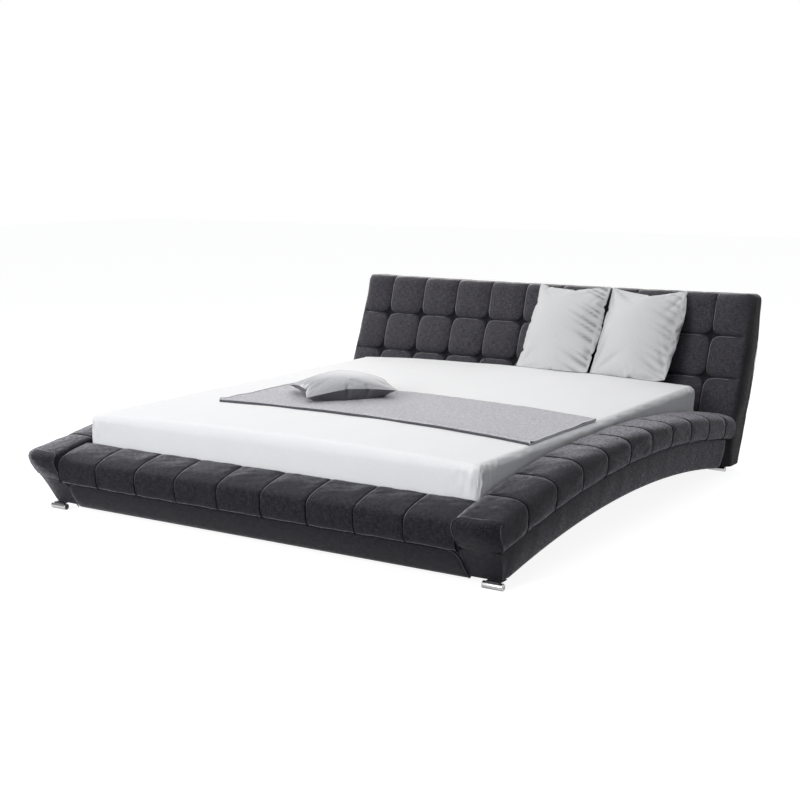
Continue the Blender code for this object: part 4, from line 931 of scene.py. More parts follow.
@dataclass
class RailUpholstery:
    """One side rail: its channelled roll, its lower panel, its welts, and the near-black strands that paint
    shade in its seams.
    """

    side: Side
    finishes: Finishes
    width: float = 0.170
    height: float = 0.112
    lift_places: tuple[float, ...] = (-0.9535, -0.6350, -0.4335, -0.2230, 0.3000, 0.8000)
    lifts: tuple[float, ...] = (0.008, 0.008, 0.001, -0.004, -0.004, 0.0)
    settled: tuple[float, ...] = (0.0, 0.007, 0.010, 0.012, 0.012, 0.004)
    belly: float = 0.54
    end_belly: float = 0.82
    end_power: float = 7.0
    puff: float = 0.0022
    groove: float = 0.0028
    sweep: float = 0.028
    sweep_in: float = 0.004
    first_seam: float = 0.0235
    last_seam: float = 0.091
    channels: int = 9
    skirt_foot: float = 0.123
    skirt_belly: float = 0.006
    skirt_reach: float = 0.070
    board_front: float = 0.060
    board_face: float = 0.0553
    head_end_reach: float = 0.018
    head_end_sweep: float = 0.018
    head_end_round: float = 0.060
    seam_off: float = 0.0006

    def __post_init__(self) -> None:
        """Work out the section and the places of the seams."""
        self.section = BolsterSection(
            seam=0.85, notch=0.31, board=self.board_face / self.width, belly=self.belly)
        if self.side is Side.LEFT:
            self.lifts = tuple(lift - drop for lift, drop in zip(self.lifts, self.settled))
        self.seams = np.linspace(
            PLAN.foot_y + self.first_seam, PLAN.head_y - self.last_seam, self.channels + 1)

    def foot_end(self, across: Array, up: Array) -> Array:
        """Return where the roll's foot end face lies, which is the same at every width."""
        heights = (0.0, 0.1, 0.33, 0.6, 0.82, 0.94, 1.0)
        shares = (0.70, 0.74, 0.83, 0.917, 0.966, 0.927, 0.81)
        spread = [np.interp(up + step, heights, shares) for step in (-0.04, -0.02, 0.0, 0.02, 0.04)]
        blended = np.where(up < 0.98, np.mean(spread, axis=0), np.interp(up, heights, shares))
        return PLAN.foot_y - PLAN.reach * blended

    def head_end(self, across: Array, up: Array) -> Array:
        """Return where the roll's rounded head end lies."""
        heights = (0.0, 0.2, 0.45, 0.65, 0.86, 1.0)
        shares = (0.22, 0.03, 0.0, 0.03, 0.20, 0.80)
        reach = self.head_end_reach + self.head_end_sweep * across ** 2
        return PLAN.head_y + reach - self.head_end_round * np.interp(up, heights, shares)

    def ring(self, seam_y: float, end: Callable, share: float, puff: float, groove: float,
             notched: bool, flare: float = 0.0) -> Ring:
        """Return one section of the roll.

        Args:
            seam_y: the place that the section starts from.
            end: the rule for the end face that it leans to.
            share: how far it has gone to that face.
            puff: how full the channel is here.
            groove: how deep the seam is here.
            notched: whether the underside steps up over the board.
            flare: how far the section has changed into that of the foot end.

        Returns:
            The outer face, the inner face and the underside, as points.
        """
        belly = mix(self.section.belly, self.end_belly, flare)
        power = mix(CROWN_POWER, self.end_power, flare)
        across, inner, up, under = self.section.outline(belly, notched, power)
        lines = []
        for wide, high in ((across, up), (inner, up), (under[:, 0], under[:, 1])):
            outwards, upwards = self.section.fullness(wide, high)
            swell = self.puff * puff - self.groove * groove
            y = mix(seam_y, end(wide, high), share)
            x = PLAN.inner_x + wide * self.width + swell * outwards
            height = self.height + np.interp(y, self.lift_places, self.lifts) * upwards
            z = PLAN.rail_seam + high * height + swell * upwards
            lines.append(xyz(self.side.value * x, y, z + PLAN.rail_low(y)))
        return lines[0], lines[1], lines[2]

    def sections(self) -> list[tuple[Ring, float]]:
        """Return every section from the foot to the head, with its crease."""
        made = []
        steps = (1.0, 0.985, 0.96, 0.92, 0.87, 0.81, 0.74, 0.66, 0.58, 0.52, 0.515, 0.44, 0.36, 0.28,
                 0.2, 0.14, 0.095, 0.06, 0.038, 0.022, 0.01)
        for share in steps:
            puff = max(float(puff_at(share)), 0.25 if share > 0.515 else 0.0)
            groove = float(groove_at(share * 0.19))
            notched = share < 0.518
            ring = self.ring(self.seams[0], self.foot_end, share, puff, groove, notched, share ** 2)
            made.append((ring, groove))
        pitch = self.seams[1] - self.seams[0]
        for low in self.seams[:-1]:
            for place in offsets(pitch, FINE_STEPS):
                groove = float(groove_at(min(place, pitch - place)))
                puff = float(puff_at(place / pitch))
                made.append((self.ring(low + place, self.head_end, 0.0, puff, groove, True), groove))
        steps = (
            0.0, 0.01, 0.023, 0.04, 0.065, 0.1, 0.16, 0.24, 0.34, 0.46, 0.58, 0.7, 0.82, 0.92, 0.97, 1.0)
        for share in steps:
            groove = float(groove_at(share * 0.14))
            puff = min(float(puff_at(share / 2)), 0.835)
            made.append((self.ring(self.seams[-1], self.head_end, share, puff, groove, True), groove))
        return made

    def swept(self, points: Array) -> Array:
        """Return points with the foot end's outer corner drawn back."""
        points = points.copy()
        near = smooth((-1.08 - points[..., 1]) / 0.12)
        out = np.clip((np.abs(points[..., 0]) - PLAN.inner_x) / self.width, 0.0, 1.1)
        points[..., 1] += self.sweep * near * out ** 4
        points[..., 0] -= self.side.value * self.sweep_in * near * out
        return points

    def bolster(self) -> Piece:
        """Make the channelled roll."""
        sections, creases = zip(*self.sections())
        skin, outer, inner = roll_skin(f"rail_roll_{self.side.word}", sections, creases)
        for end, way in ((0, -1.0), (-1, 1.0)):
            self.cap(skin, outer[end], inner[end], way)
            skin.bridge(sections[end][2][:2], sections[end][2][:1:-1])
        piece = skin.build(self.finishes.charcoal)
        set_points(piece, self.swept(points_of(piece)))
        soften(piece, 11 + self.side.value, 0.11, 0.0016)
        soften(piece, 21 + self.side.value, 0.035, 0.0008)
        return keep(piece, "frame", "charcoal_fabric", [f"rail_bolster_{self.side.word}"])

    def cap(self, skin: Skin, outer: Array, inner: Array, way: float) -> None:
        """Close one end of the roll with a slightly swollen face.

        Args:
            skin: the skin to close.
            outer: the outer line of the end section.
            inner: the inner line of the end section.
            way: the sign of Y that the face looks to.
        """
        shares = np.array([0.0, 0.015, 0.05, 0.12, 0.22, 0.35, 0.5, 0.65, 0.78, 0.88, 0.95, 0.985, 1.0])
        grid = mix(outer[:, None], inner[:, None], shares[None, :, None])
        rise = np.linspace(0.0, 1.0, len(outer))[:, None]
        bulge = 0.004 * (1.0 - np.abs(2.0 * shares - 1.0) ** 4)[None] * np.sin(math.pi * rise) ** 0.6
        grid[:, :, 1] += way * bulge
        skin.add(grid)

    def skirt(self) -> Piece:
        """Make the smooth lower panel with its arched edge."""
        seam_x = PLAN.inner_x + self.section.seam * self.width
        foot_x = PLAN.inner_x + self.skirt_foot
        up = np.array([
            0.0, 0.015, 0.04, 0.09, 0.17, 0.27, 0.38, 0.5, 0.62, 0.73, 0.83, 0.9, 0.95, 0.98, 1.0])
        tuck = 0.005 * (np.exp(-(up / 0.025) ** 1.2) + np.exp(-((1.0 - up) / 0.03) ** 1.2))
        face_x = mix(foot_x, seam_x, up) + self.skirt_belly * np.sin(math.pi * up) - tuck
        top_y = float(self.foot_end(np.array(0.0), np.array(0.0)))
        step_y = PLAN.foot_y - self.board_front
        end_y = mix(PLAN.foot_y - self.skirt_reach, top_y, up)
        even = np.arange(step_y + 0.003, PLAN.head_y, 0.02)
        runs = np.unique(np.concatenate([even, self.arch_flat(), [PLAN.head_y]]))
        places = [mix(end_y, step_y, share) for share in (0.0, 0.03, 0.12, 0.3, 0.55, 0.8, 1.0)]
        places += [np.full(up.shape, y) for y in runs]
        rows = []
        for y in places:
            low = np.maximum(PLAN.rail_low(y), PLAN.clearance)
            high = PLAN.rail_low(y) + PLAN.rail_seam - PLAN.gap
            close = np.exp(-((PLAN.head_y - y) / 0.004) ** 1.2) * 0.004
            rows.append((face_x - close, y, mix(low, high, up)))
        front = np.stack([np.stack(row, axis=-1) for row in rows])
        folds = ripple(front * (1.0, 1.0, 0.12), 31 + self.side.value, 0.055)
        front[:, :, 0] += 0.0005 * folds * np.sin(math.pi * up)[None]
        back = front.copy()
        inner = np.where(np.arange(len(places)) < 6, PLAN.inner_x, PLAN.inner_x + self.board_face)
        back[:, :, 0] = inner[:, None]
        for grid in (front, back):
            grid[:, :, 0] *= self.side.value
        skin = Skin(f"rail_panel_{self.side.word}").add_slab(front, back, steps=8)
        piece = skin.build(self.finishes.charcoal)
        set_points(piece, self.swept(points_of(piece)))
        return keep(piece, "frame", "charcoal_fabric", [f"rail_skirt_{self.side.word}"])

    def arch_flat(self) -> Array:
        """Return where the arch's lower edge meets the level ends of the panel."""
        reach = PLAN.arch_half_span * math.sqrt((PLAN.rail_bottom - PLAN.clearance) / PLAN.arch_rise)
        return np.array([PLAN.arch_middle - reach, PLAN.arch_middle + reach])

    def threads(self) -> None:
        """Make the near-black strand in each seam, which paints the shade in the groove."""
        paths = [beside_seam(self.ring(seam, self.head_end, 0.0, 0.0, 1.0, True), SEAM_OUT, (1.0, 0.0, 1.0))
                 for seam in self.seams]
        sew(f"rail_groove_{self.side.word}", paths, 0.0019, self.finishes.shade)

    def welts(self) -> None:
        """Make the foot block's pale welts, a painted highlight on its corner and inner edge, and its lower
        seam's painted shade.
        """
        outer, inner, _ = self.ring(self.seams[0], self.foot_end, 1.0, 0.25, 0.0, False, 1.0)
        outer, inner = self.swept(outer), self.swept(inner)
        corner = outer[3:int(len(outer) * 0.62)] + np.array([self.side.value * 0.0004, -0.0006, 0.0])
        edge = inner[:-2] + np.array([0.0, -0.0006, 0.0])
        fall = np.linspace(0.0, 0.985, 30)
        top_y = float(self.foot_end(np.array(0.0), np.array(0.0)))
        end_y = mix(PLAN.foot_y - self.skirt_reach, top_y, fall)
        skirt = xyz(self.side.value * PLAN.inner_x, end_y - SEAM_OUT,
                    mix(PLAN.clearance, PLAN.rail_low(end_y) + PLAN.rail_seam, fall))
        edge = np.concatenate([skirt, edge])
        sew(f"rail_welt_{self.side.word}", [corner, edge], 0.0014, self.finishes.welt)
        shares = np.linspace(0.0, 1.0, 24)
        line = mix(inner[1], outer[1], shares[:, None])
        line[:, 1] -= self.sweep * self.section.seam ** 4 * (shares - shares ** 4)
        line += np.array([0.0, -0.0004, 0.0])
        places = np.linspace(float(line[-1, 1]) + 0.004, PLAN.head_y, 150)
        side = self.swept(xyz(
            self.side.value * (PLAN.inner_x + self.section.seam * self.width + self.seam_off), places,
            PLAN.rail_low(places) + PLAN.rail_seam - self.seam_off))
        # The near-black strands along the lower seam paint shade in it.
        sew(f"rail_seam_{self.side.word}", [line, side], 0.0011, self.finishes.shade)

    def build(self) -> None:
        """Make the rail's pieces."""
        self.bolster()
        self.skirt()
        self.threads()
        self.welts()


@dataclass
class FootUpholstery:
    """The footboard: its channelled roll, the plinth below it, the gussets, and strands that paint highlight
    and shade.
    """

    finishes: Finishes
    seam_height: float = 0.134
    width: float = 0.165
    height: float = 0.140
    fall: float = 0.028
    puff: float = 0.0023
    groove: float = 0.0030
    channels: int = 9
    clearance: float = 0.007
    board_front: float = 0.0533
    plinth_bottom: float = 0.020
    plinth_top_reach: float = 0.138
    plinth_bottom_reach: float = 0.072
    plinth_belly: float = 0.007
    end_inset: float = 0.073
    end_power: float = 6.0
    end_lean: float = 0.006

    def __post_init__(self) -> None:
        """Work out the section."""
        self.section = BolsterSection(
            seam=0.83, notch=0.41, board=self.board_front / self.width, belly=0.50, crown=0.10,
            inner_side=0.93)
        self.half = PLAN.inner_x - PLAN.gap

    def ring(self, x: float, puff: float, groove: float) -> Ring:
        """Return one section of the roll: its outer face, inner face and underside."""
        across, inner, up, under = self.section.outline(self.section.belly, True)
        swell = self.puff * puff - self.groove * groove
        lines = []
        for wide, high in ((across, up), (inner, up), (under[:, 0], under[:, 1])):
            outwards, upwards = self.section.fullness(wide, high)
            y = PLAN.foot_y - self.clearance - wide * self.width - swell * outwards
            z = self.seam_height + high * self.height + (swell - self.fall * wide) * upwards
            lines.append(xyz(x, y, z))
        return lines[0], lines[1], lines[2]

    def bolster(self) -> Piece:
        """Make the channelled roll."""
        pitch = 2 * self.half / self.channels
        sections, creases = [], []
        for channel in range(self.channels):
            for place in offsets(pitch, FINE_STEPS):
                groove = float(groove_at(min(place, pitch - place)))
                x = -self.half + channel * pitch + place
                sections.append(self.ring(x, float(puff_at(place / pitch)), groove))
                creases.append(groove)
        sections.append(self.ring(self.half, 0.0, 1.0))
        creases.append(1.0)
        skin, outer, inner = roll_skin("foot_roll", sections, creases)
        for end in (0, -1):
            skin.bridge(outer[end], inner[end], 6)
            skin.bridge(sections[end][2][:2], sections[end][2][:1:-1])
        piece = skin.build(self.finishes.charcoal)
        soften(piece, 41, 0.11, 0.0016)
        soften(piece, 42, 0.035, 0.0008)
        return keep(piece, "frame", "charcoal_fabric", ["foot_bolster"])

    def plinth_front(self, share: Array) -> Array:
        """Return the y of the plinth's face at shares of its height."""
        reach = mix(self.plinth_bottom_reach, self.plinth_top_reach, share)
        return PLAN.foot_y - reach - self.plinth_belly * np.sin(math.pi * share)

    def plinth_end(self, share: Array) -> Array:
        """Return the half length of the plinth, whose ends sweep out to the floor."""
        turned = 1.0 - np.sqrt(np.maximum(0.0, 1.0 - share ** self.end_power))
        return PLAN.inner_x - 2 * PLAN.gap - self.end_inset * turned - self.end_lean * share

    def panel(self, name: str, near: Array, far: Array, front: Array, tuck: float) -> Piece:
        """Make one padded panel of the plinth between two ends.

        Args:
            name: the object's name.
            near: its first x at each level.
            far: its second x at each level.
            front: the y of its face at each level.
            tuck: how far its face turns in at its edges.

        Returns:
            The panel.
        """
        share = self.levels
        runs = np.unique(np.concatenate([[0, 0.004, 0.012], np.linspace(0.03, 0.97, 41), [0.988, 0.996, 1]]))
        height = mix(self.plinth_bottom, self.seam_height - PLAN.gap, share)
        x = mix(near[:, None], far[:, None], runs[None])
        length = np.abs(far - near)[:, None]
        edge = np.minimum(runs, 1.0 - runs)[None] * length
        rim = np.exp(-(share / 0.04) ** 1.2) + np.exp(-((1.0 - share) / 0.04) ** 1.2)
        turn = tuck * np.exp(-(edge / 0.006) ** 1.2) + tuck * rim[:, None]
        face = xyz(x, front[:, None] + turn, height[:, None])
        face[:, :, 1] += 0.0006 * ripple(face * (1.0, 1.0, 0.2), 51, 0.09) * np.sin(math.pi * share)[:, None]
        back = face.copy()
        back[:, :, 1] = PLAN.foot_y - self.clearance - self.board_front - PLAN.gap
        return Skin(name).add_slab(face, back, steps=3).build(self.finishes.charcoal)

    def plinth(self) -> None:
        """Make the undercut plinth and the gussets at its ends."""
        self.levels = np.array([
            0.0, 0.01, 0.03, 0.07, 0.14, 0.24, 0.36, 0.48, 0.6, 0.7, 0.78, 0.84, 0.885, 0.92, 0.945, 0.965,
            0.98, 0.993, 1.0])
        end = self.plinth_end(self.levels) - PLAN.gap
        front = self.plinth_front(self.levels)
        piece = self.panel("foot_plinth_panel", -end, end, front, 0.005)
        keep(piece, "frame", "charcoal_fabric", ["foot_plinth"])
        for side in Side:
            near = side.value * (end + 2 * PLAN.gap)
            far = np.full(near.shape, side.value * (PLAN.inner_x - PLAN.gap))
            piece = self.panel(f"foot_gusset_panel_{side.word}", near, far, front + 0.005, 0.002)
            keep(piece, "frame", "charcoal_fabric", [f"foot_gusset_{side.word}"])

    def threads(self) -> None:
        """Make the pale strand beside each seam, a painted highlight, and the near-black strand in it,
        painted shade.
        """
        paths = self.seam_paths(0.0052, 0.0003)
        rise = paths[1][:, 2] - paths[1][:, 2].min()
        # The pale strands thin out down the roll, where the painted highlight fades.
        radius = 0.00075 * smooth((rise / rise.max() - 0.50) / 0.35) + 0.00005
        sew("foot_thread", paths, radius, self.finishes.thread)
        sew("foot_groove", self.seam_paths(0.0, SEAM_OUT), 0.0017, self.finishes.shade)
        self.welts()

    def seam_paths(self, beside: float, out: float) -> list[Array]:
        """Return lines over the roll beside its seams.

        Args:
            beside: how far to the right of each seam.
            out: how far the lines stand off the cloth.

        Returns:
            One line of points for each seam.
        """
        pitch = 2 * self.half / self.channels
        paths = []
        for index in range(self.channels + 1):
            x = -self.half + index * pitch + (beside if index < self.channels else -beside)
            ring = self.ring(x, float(puff_at(beside / pitch)), float(groove_at(beside)))
            paths.append(beside_seam(ring, out, (0.0, 1.0, 1.0)))
        return paths

    def welts(self) -> None:
        """Make the pale welt along the plinth's curved ends, a painted highlight, and the near-black strand
        under the roll, painted shade.
        """
        share = 1.0 - (1.0 - np.linspace(0.0, 1.0, 60)) ** 2
        height = mix(self.plinth_bottom, self.seam_height - PLAN.gap - 0.002, share)
        front = self.plinth_front(share) + 0.0012
        ends = [xyz(side.value * (self.plinth_end(share) - 0.001), front, height) for side in Side]
        sew("plinth_welt", ends, 0.0018, self.finishes.welt)
        across = np.linspace(-self.half + 0.004, self.half - 0.004, 120)
        under = PLAN.foot_y - self.clearance - self.section.seam * self.width - SEAM_OUT
        line = xyz(across, under, self.seam_height)
        sew("plinth_seam", [line], 0.0022, self.finishes.shade)

    def build(self) -> None:
        """Make the footboard's pieces."""
        self.bolster()
        self.plinth()
        self.threads()


@dataclass
class Headboard:
    """The reclined headboard's tufted pad, the pale strands that paint highlights on its tufts and the seam
    on its sides.
    """

    finishes: Finishes
    half: float = 1.068
    height: float = 0.792
    straight: float = 0.120
    front_lean: float = 0.258
    front_power: float = 1.3
    back_reach: float = 0.111
    back_power: float = 1.55
    overall_reach: float = 0.372
    edge_width: float = 0.1788
    columns: int = 11
    first_row: float = 0.227
    top_row: float = 0.784
    rows: int = 3
    bulge: float = 0.030
    pull: float = 0.014
    squareness: float = 4.7
    seam_share: float = 0.955
    wrap: float = 0.072
    wrap_width: float = 0.088
    wrap_start: float = 0.140
    wrap_full: float = 0.300
    corner_radius: float = 0.034
    front_radius: float = 0.036
    back_radius: float = 0.012
    scallop: float = 0.006
    sag: float = 0.007
    fall_back: float = 0.007
    side_swell: float = 0.010
    pocket_half: float = 1.026
    panel_half: float = 0.9504
    pad_thickness: float = 0.030
    panel_thickness: float = 0.018
    post_setback: float = 0.055
    pocket_top: float = 0.742
    thread_radius: float = 0.0009

    def __post_init__(self) -> None:
        """Work out the places of the seams."""
        self.seam_half = self.half - self.edge_width
        self.pitch = 2 * self.seam_half / (self.columns - 2)
        self.seams = np.linspace(-self.seam_half, self.seam_half, self.columns - 1)
        self.row_pitch = (self.top_row - self.first_row) / self.rows
        self.row_seams = self.first_row + self.row_pitch * np.arange(self.rows)

    def front_curve(self, z: Array) -> Array:
        """Return the y of the tufted face's seams at heights."""
        share = np.clip((z - self.straight) / (self.height - self.straight), 0.0, 1.0)
        return PLAN.head_y + PLAN.gap + self.front_lean * (1.0 - (1.0 - share) ** self.front_power)

    def back_curve(self, z: Array) -> Array:
        """Return the y of the headboard's back at heights."""
        share = np.clip(z / self.height, 0.0, 1.0)
        lean = self.overall_reach - self.back_reach
        return PLAN.head_y + self.back_reach + lean * (1.0 - (1.0 - share) ** self.back_power)

    def wrap_rise(self, z: Array) -> Array:
        """Return how much of the side roll there is at heights."""
        return np.clip((z - self.wrap_start) / (self.wrap_full - self.wrap_start), 0.0, 1.0)

    def wrap_at(self, x: Array, z: Array) -> Array:
        """Return how far the face has rolled back near the sides."""
        out = np.clip((np.abs(x) - self.half + self.wrap_width) / self.wrap_width, 0.0, 1.0)
        return self.wrap * self.wrap_rise(z) * (1.0 - np.sqrt(np.maximum(0.0, 1.0 - out ** 2)))

    def cell(self, x: Array, z: Array) -> tuple[Array, Array]:
        """Return how far points are from the middle of their tuft, 0 in it and 1 at a seam.

        Args:
            x: widths.
            z: heights.

        Returns:
            The share across the tuft and the share up it.
        """
        nearest = np.min(np.abs(np.abs(x)[..., None] - np.abs(self.seams[self.seams > -1e-6])), axis=-1)
        across = 1.0 - np.minimum(1.0, 2.0 * nearest / self.pitch)
        outer = np.abs(x) > self.seam_half + self.pitch / 2
        across = np.where(outer, 0.0, across)
        below = np.min(np.abs(z[..., None] - self.row_seams), axis=-1)
        up = 1.0 - np.minimum(1.0, 2.0 * below / self.row_pitch)
        middle = self.row_seams[-1] + self.row_pitch / 2
        up = np.where(z > middle, 0.45 * (z - middle) / (self.height - middle), up)
        return across, up

    def tuft(self, x: Array, z: Array) -> tuple[Array, Array]:
        """Return how far the tufted face stands out, and how deep in a seam it is.

        Args:
            x: widths.
            z: heights.

        Returns:
            The distance out of the plain face, and the crease from 0 to 1.
        """
        across, up = self.cell(x, z)
        fade = smooth((np.abs(x) - self.half + 0.040) / 0.036)
        up = up * (1.0 - fade)
        shape = (across ** self.squareness + up ** self.squareness) ** (1 / self.squareness)
        inside = np.clip(shape, 0.0, 1.0)
        dome = 0.72 * np.sqrt(np.maximum(0.0, 1.0 - inside ** 4)) + 0.28 * (1.0 - inside ** 2)
        corner = np.clip((shape - 1.0) / 0.18, 0.0, 1.0)
        out = self.bulge * dome - self.pull * corner ** 0.8
        calm = smooth((z - 0.13) / 0.09)
        deep = np.clip((shape - self.seam_share) / 0.045, 0.0, 1.0)
        return out * calm, deep * calm

    def face(self, x: Array, z: Array) -> Array:
        """Return the y of the padded face at widths and heights."""
        return self.front_curve(z) + self.wrap_at(x, z) - self.tuft(x, z)[0]

    def place(self, u: Array, v: Array, w: Array) -> tuple[Array, Array]:
        """Return the points of the pad and their creases.

        Args:
            u: shares of the width.
            v: shares of the depth, from the face to the back.
            w: shares of the height.

        Returns:
            The points and the creases.
        """
        x = mix(-self.half, self.half, u)
        above = self.height - mix(PLAN.clearance, self.height, w)
        side = self.half - np.abs(x)
        rim = np.minimum(above, side)
        above, side = self.round_corner(above, side)
        z = self.height - above
        x = np.sign(x) * (self.half - side)
        out, deep = self.tuft(x, z)
        front = self.front_curve(z) + self.wrap_at(x, z) - out
        depth = self.back_curve(z) - front
        behind = self.tucked(v * depth, rim, self.front_radius)
        behind = depth - self.tucked(depth - behind, rim, self.back_radius)
        across, _ = self.cell(x, z)
        near_top = smooth((z - self.height + 0.07) / 0.06)
        notch = near_top * (1.0 - behind / np.maximum(depth, 1e-6)) * (1.0 - np.sqrt(1.0 - across ** 4))
        fade = 1.0 - smooth(behind / 0.10)
        high = smooth((z - self.height + 0.16) / 0.15)
        drop = self.sag * (1.0 - (np.abs(x) / self.half) ** 3) + self.fall_back * smooth(behind / 0.12)
        swell = self.swell(z, behind) * smooth((np.abs(x) - self.half + 0.10) / 0.10)
        x = x + np.sign(x) * swell
        return xyz(x, front + behind, z - self.scallop * notch - drop * high), deep * fade

    def swell(self, z: Array, behind: Array) -> Array:
        """Return how far the pad's sides bulge at heights and depths behind its face."""
        upright = smooth((z - 0.20) / 0.10) * smooth((0.74 - z) / 0.25)
        return self.side_swell * upright * np.exp(-(behind / 0.07) ** 2)

    def round_corner(self, above: Array, side: Array) -> tuple[Array, Array]:
        """Round the outline's top corners, with what lies inside them.

        Args:
            above: how far points lie below the top.
            side: how far they lie inside the nearest side.

        Returns:
            Both distances again.
        """
        down = np.maximum(self.corner_radius - above, 0.0)
        inward = np.maximum(self.corner_radius - side, 0.0)
        scale = np.maximum(down, inward) / np.maximum(np.hypot(down, inward), 1e-9)
        near = (down > 0.0) & (inward > 0.0)
        return (np.where(near, self.corner_radius - down * scale, above),
                np.where(near, self.corner_radius - inward * scale, side))

    @staticmethod
    def tucked(behind: Array, rim: Array, radius: float) -> Array:
        """Return how far behind the face points lie once its rim is rounded.

        Args:
            behind: how far they lie behind it now.
            rim: how far they lie inside the pad's outline.
            radius: the radius of the rounding.

        Returns:
            The distances, larger near the rim.
        """
        inside = np.clip(1.0 - rim / radius, 0.0, 1.0)
        turn = radius * (1.0 - np.sqrt(1.0 - inside ** 2))
        return np.maximum(behind, turn)

    def cuts(self) -> tuple[Array, Array, Array]:
        """Return where the pad's block is cut along its three axes, as shares."""
        fine = (0.0, 0.002, 0.0045, 0.0075, 0.011, 0.015, 0.020, 0.027, 0.036, 0.048, 0.064, 0.082)
        x = [-self.half, self.half]
        for low in self.seams[:-1]:
            x.extend(low + place for place in offsets(self.pitch, fine))
        x.extend((self.seams[-1],))
        for sign in (-1, 1):
            x.extend(sign * (self.seam_half + place) for place in fine[1:])
            x.extend(sign * (self.half - place) for place in (
                0.002, 0.004, 0.007, 0.010, 0.014, 0.02, 0.027, 0.035, 0.045, 0.056, 0.068, 0.08))
        z = [PLAN.clearance, 0.06, 0.10, 0.13, 0.15, 0.17, 0.19, self.height]
        for low in self.row_seams:
            z.extend(low + place for place in offsets(self.row_pitch, fine))
        z.extend(self.row_seams[0] - np.array(fine[1:8]))
        z.extend(self.height - np.array((0.002, 0.0055, 0.010, 0.0145, 0.019, 0.024)))
        v = (0.0, 0.012, 0.03, 0.055, 0.09, 0.15, 0.23, 0.33, 0.45, 0.58, 0.7, 0.8, 0.87, 0.915, 0.94,
             0.96, 0.975, 0.99, 1.0)
        shares = [
            (np.array(x) + self.half) / (2 * self.half),
            np.array(v),
            (np.array(z) - PLAN.clearance) / (self.height - PLAN.clearance)]
        return tuple(self.thinned(np.clip(part, 0.0, 1.0)) for part in shares)

    @staticmethod
    def thinned(shares: Array) -> Array:
        """Return sorted shares without those that nearly coincide."""
        kept = [0.0]
        for share in np.sort(shares):
            if share - kept[-1] > 0.0004:
                kept.append(float(share))
        kept[-1] = 1.0
        return np.array(kept)

    def pocket(self) -> Piece:
        """Make the hollow in the pad's back that holds its frame."""
        levels = np.linspace(PLAN.clearance - 0.02, self.pocket_top, 16)
        rows = []
        for z in levels:
            front = self.front_curve(z) + self.pad_thickness - PLAN.gap
            step = front + self.panel_thickness + self.post_setback * self.wrap_rise(z)
            back = self.back_curve(z) + 0.02
            right = [(self.panel_half + PLAN.gap, front), (self.panel_half + PLAN.gap, step),
                     (self.pocket_half, step), (self.pocket_half, back)]
            ring = [*right, *[(-x, y) for x, y in reversed(right)]]
            rows.append([(x, float(y), z) for x, y in ring])
        bm = bmesh.new()
        rings = [[bm.verts.new(point) for point in row] for row in rows]
        for first, second in zip(rings, rings[1:]):
            for index in range(8):
                after = (index + 1) % 8
                bm.faces.new((first[index], first[after], second[after], second[index]))
        bm.faces.new(rings[0])
        bm.faces.new(rings[-1])
        bmesh.ops.recalc_face_normals(bm, faces=bm.faces)
        mesh = bpy.data.meshes.new("pad_pocket")
        bm.to_mesh(mesh)
        bm.free()
        cutter = bpy.data.objects.new("pad_pocket", mesh)
        bpy.context.scene.collection.objects.link(cutter)
        return cutter

    def pad(self) -> Piece:
        """Make the tufted pad."""
        skin = Skin("headboard_upholstery")
        for _, u, v, w in block_faces(self.cuts()):
            points, crease = self.place(u, v, w)
            skin.add(points, crease)
        piece = skin.build(self.finishes.charcoal)
        soften(piece, 61, 0.12, 0.0018)
        soften(piece, 62, 0.03, 0.0005)
        cutter = self.pocket()
        step = piece.modifiers.new("pocket", "BOOLEAN")
        step.solver = "EXACT"
        step.object = cutter
        view = bpy.context.evaluated_depsgraph_get()
        mesh = bpy.data.meshes.new_from_object(piece.evaluated_get(view))
        piece.modifiers.clear()
        piece.data = mesh
        mesh.materials.clear()
        # The pad takes the brighter copy of the charcoal cloth, which paints light.
        mesh.materials.append(self.finishes.charcoal_pad)
        bpy.data.objects.remove(cutter)
        return keep(piece, "frame", "charcoal_fabric", ["headboard_pad"])

    def rim(self, column: int, row: int) -> Array:
        """Return the pale line up the left side of one tuft and along its top, a painted highlight on that
        rim.

        Args:
            column: the tuft's column, from the left.
            row: the tuft's row, from the lowest one.

        Returns:
            The line's points.
        """
        half_x, half_z = self.pitch / 2, self.row_pitch / 2
        middle_x = -self.seam_half - half_x + column * self.pitch
        middle_z = self.row_seams[0] - half_z + row * self.row_pitch
        turn = np.linspace(math.radians(196.0), math.radians(62.0), 60)
        cos, sin = np.cos(turn), np.sin(turn)
        power = self.squareness
        reach = self.seam_share / (np.abs(cos) ** power + np.abs(sin) ** power) ** (1 / power)
        x = middle_x + reach * cos * half_x
        z = middle_z + reach * sin * half_z
        if column == 0:
            x = np.linspace(-self.half + 0.03, middle_x + 0.3 * half_x, 30)
            z = np.full(x.shape, middle_z + self.seam_share * half_z)
        if column == self.columns - 1:
            x = np.where(x > middle_x, mix(middle_x, self.half - 0.045, (x - middle_x) / half_x), x)
        if row == self.rows:
            z = np.linspace(self.row_seams[-1] + 0.02, self.height - 0.045, 40)
            x = np.full(z.shape, middle_x - self.seam_share * half_x)
        if row == 0:
            z = np.maximum(z, PLAN.clearance + 0.14)
        x = np.clip(x, -self.half + 0.03, self.half - 0.03)
        return xyz(x, self.face(x, z) - 0.0003, z)

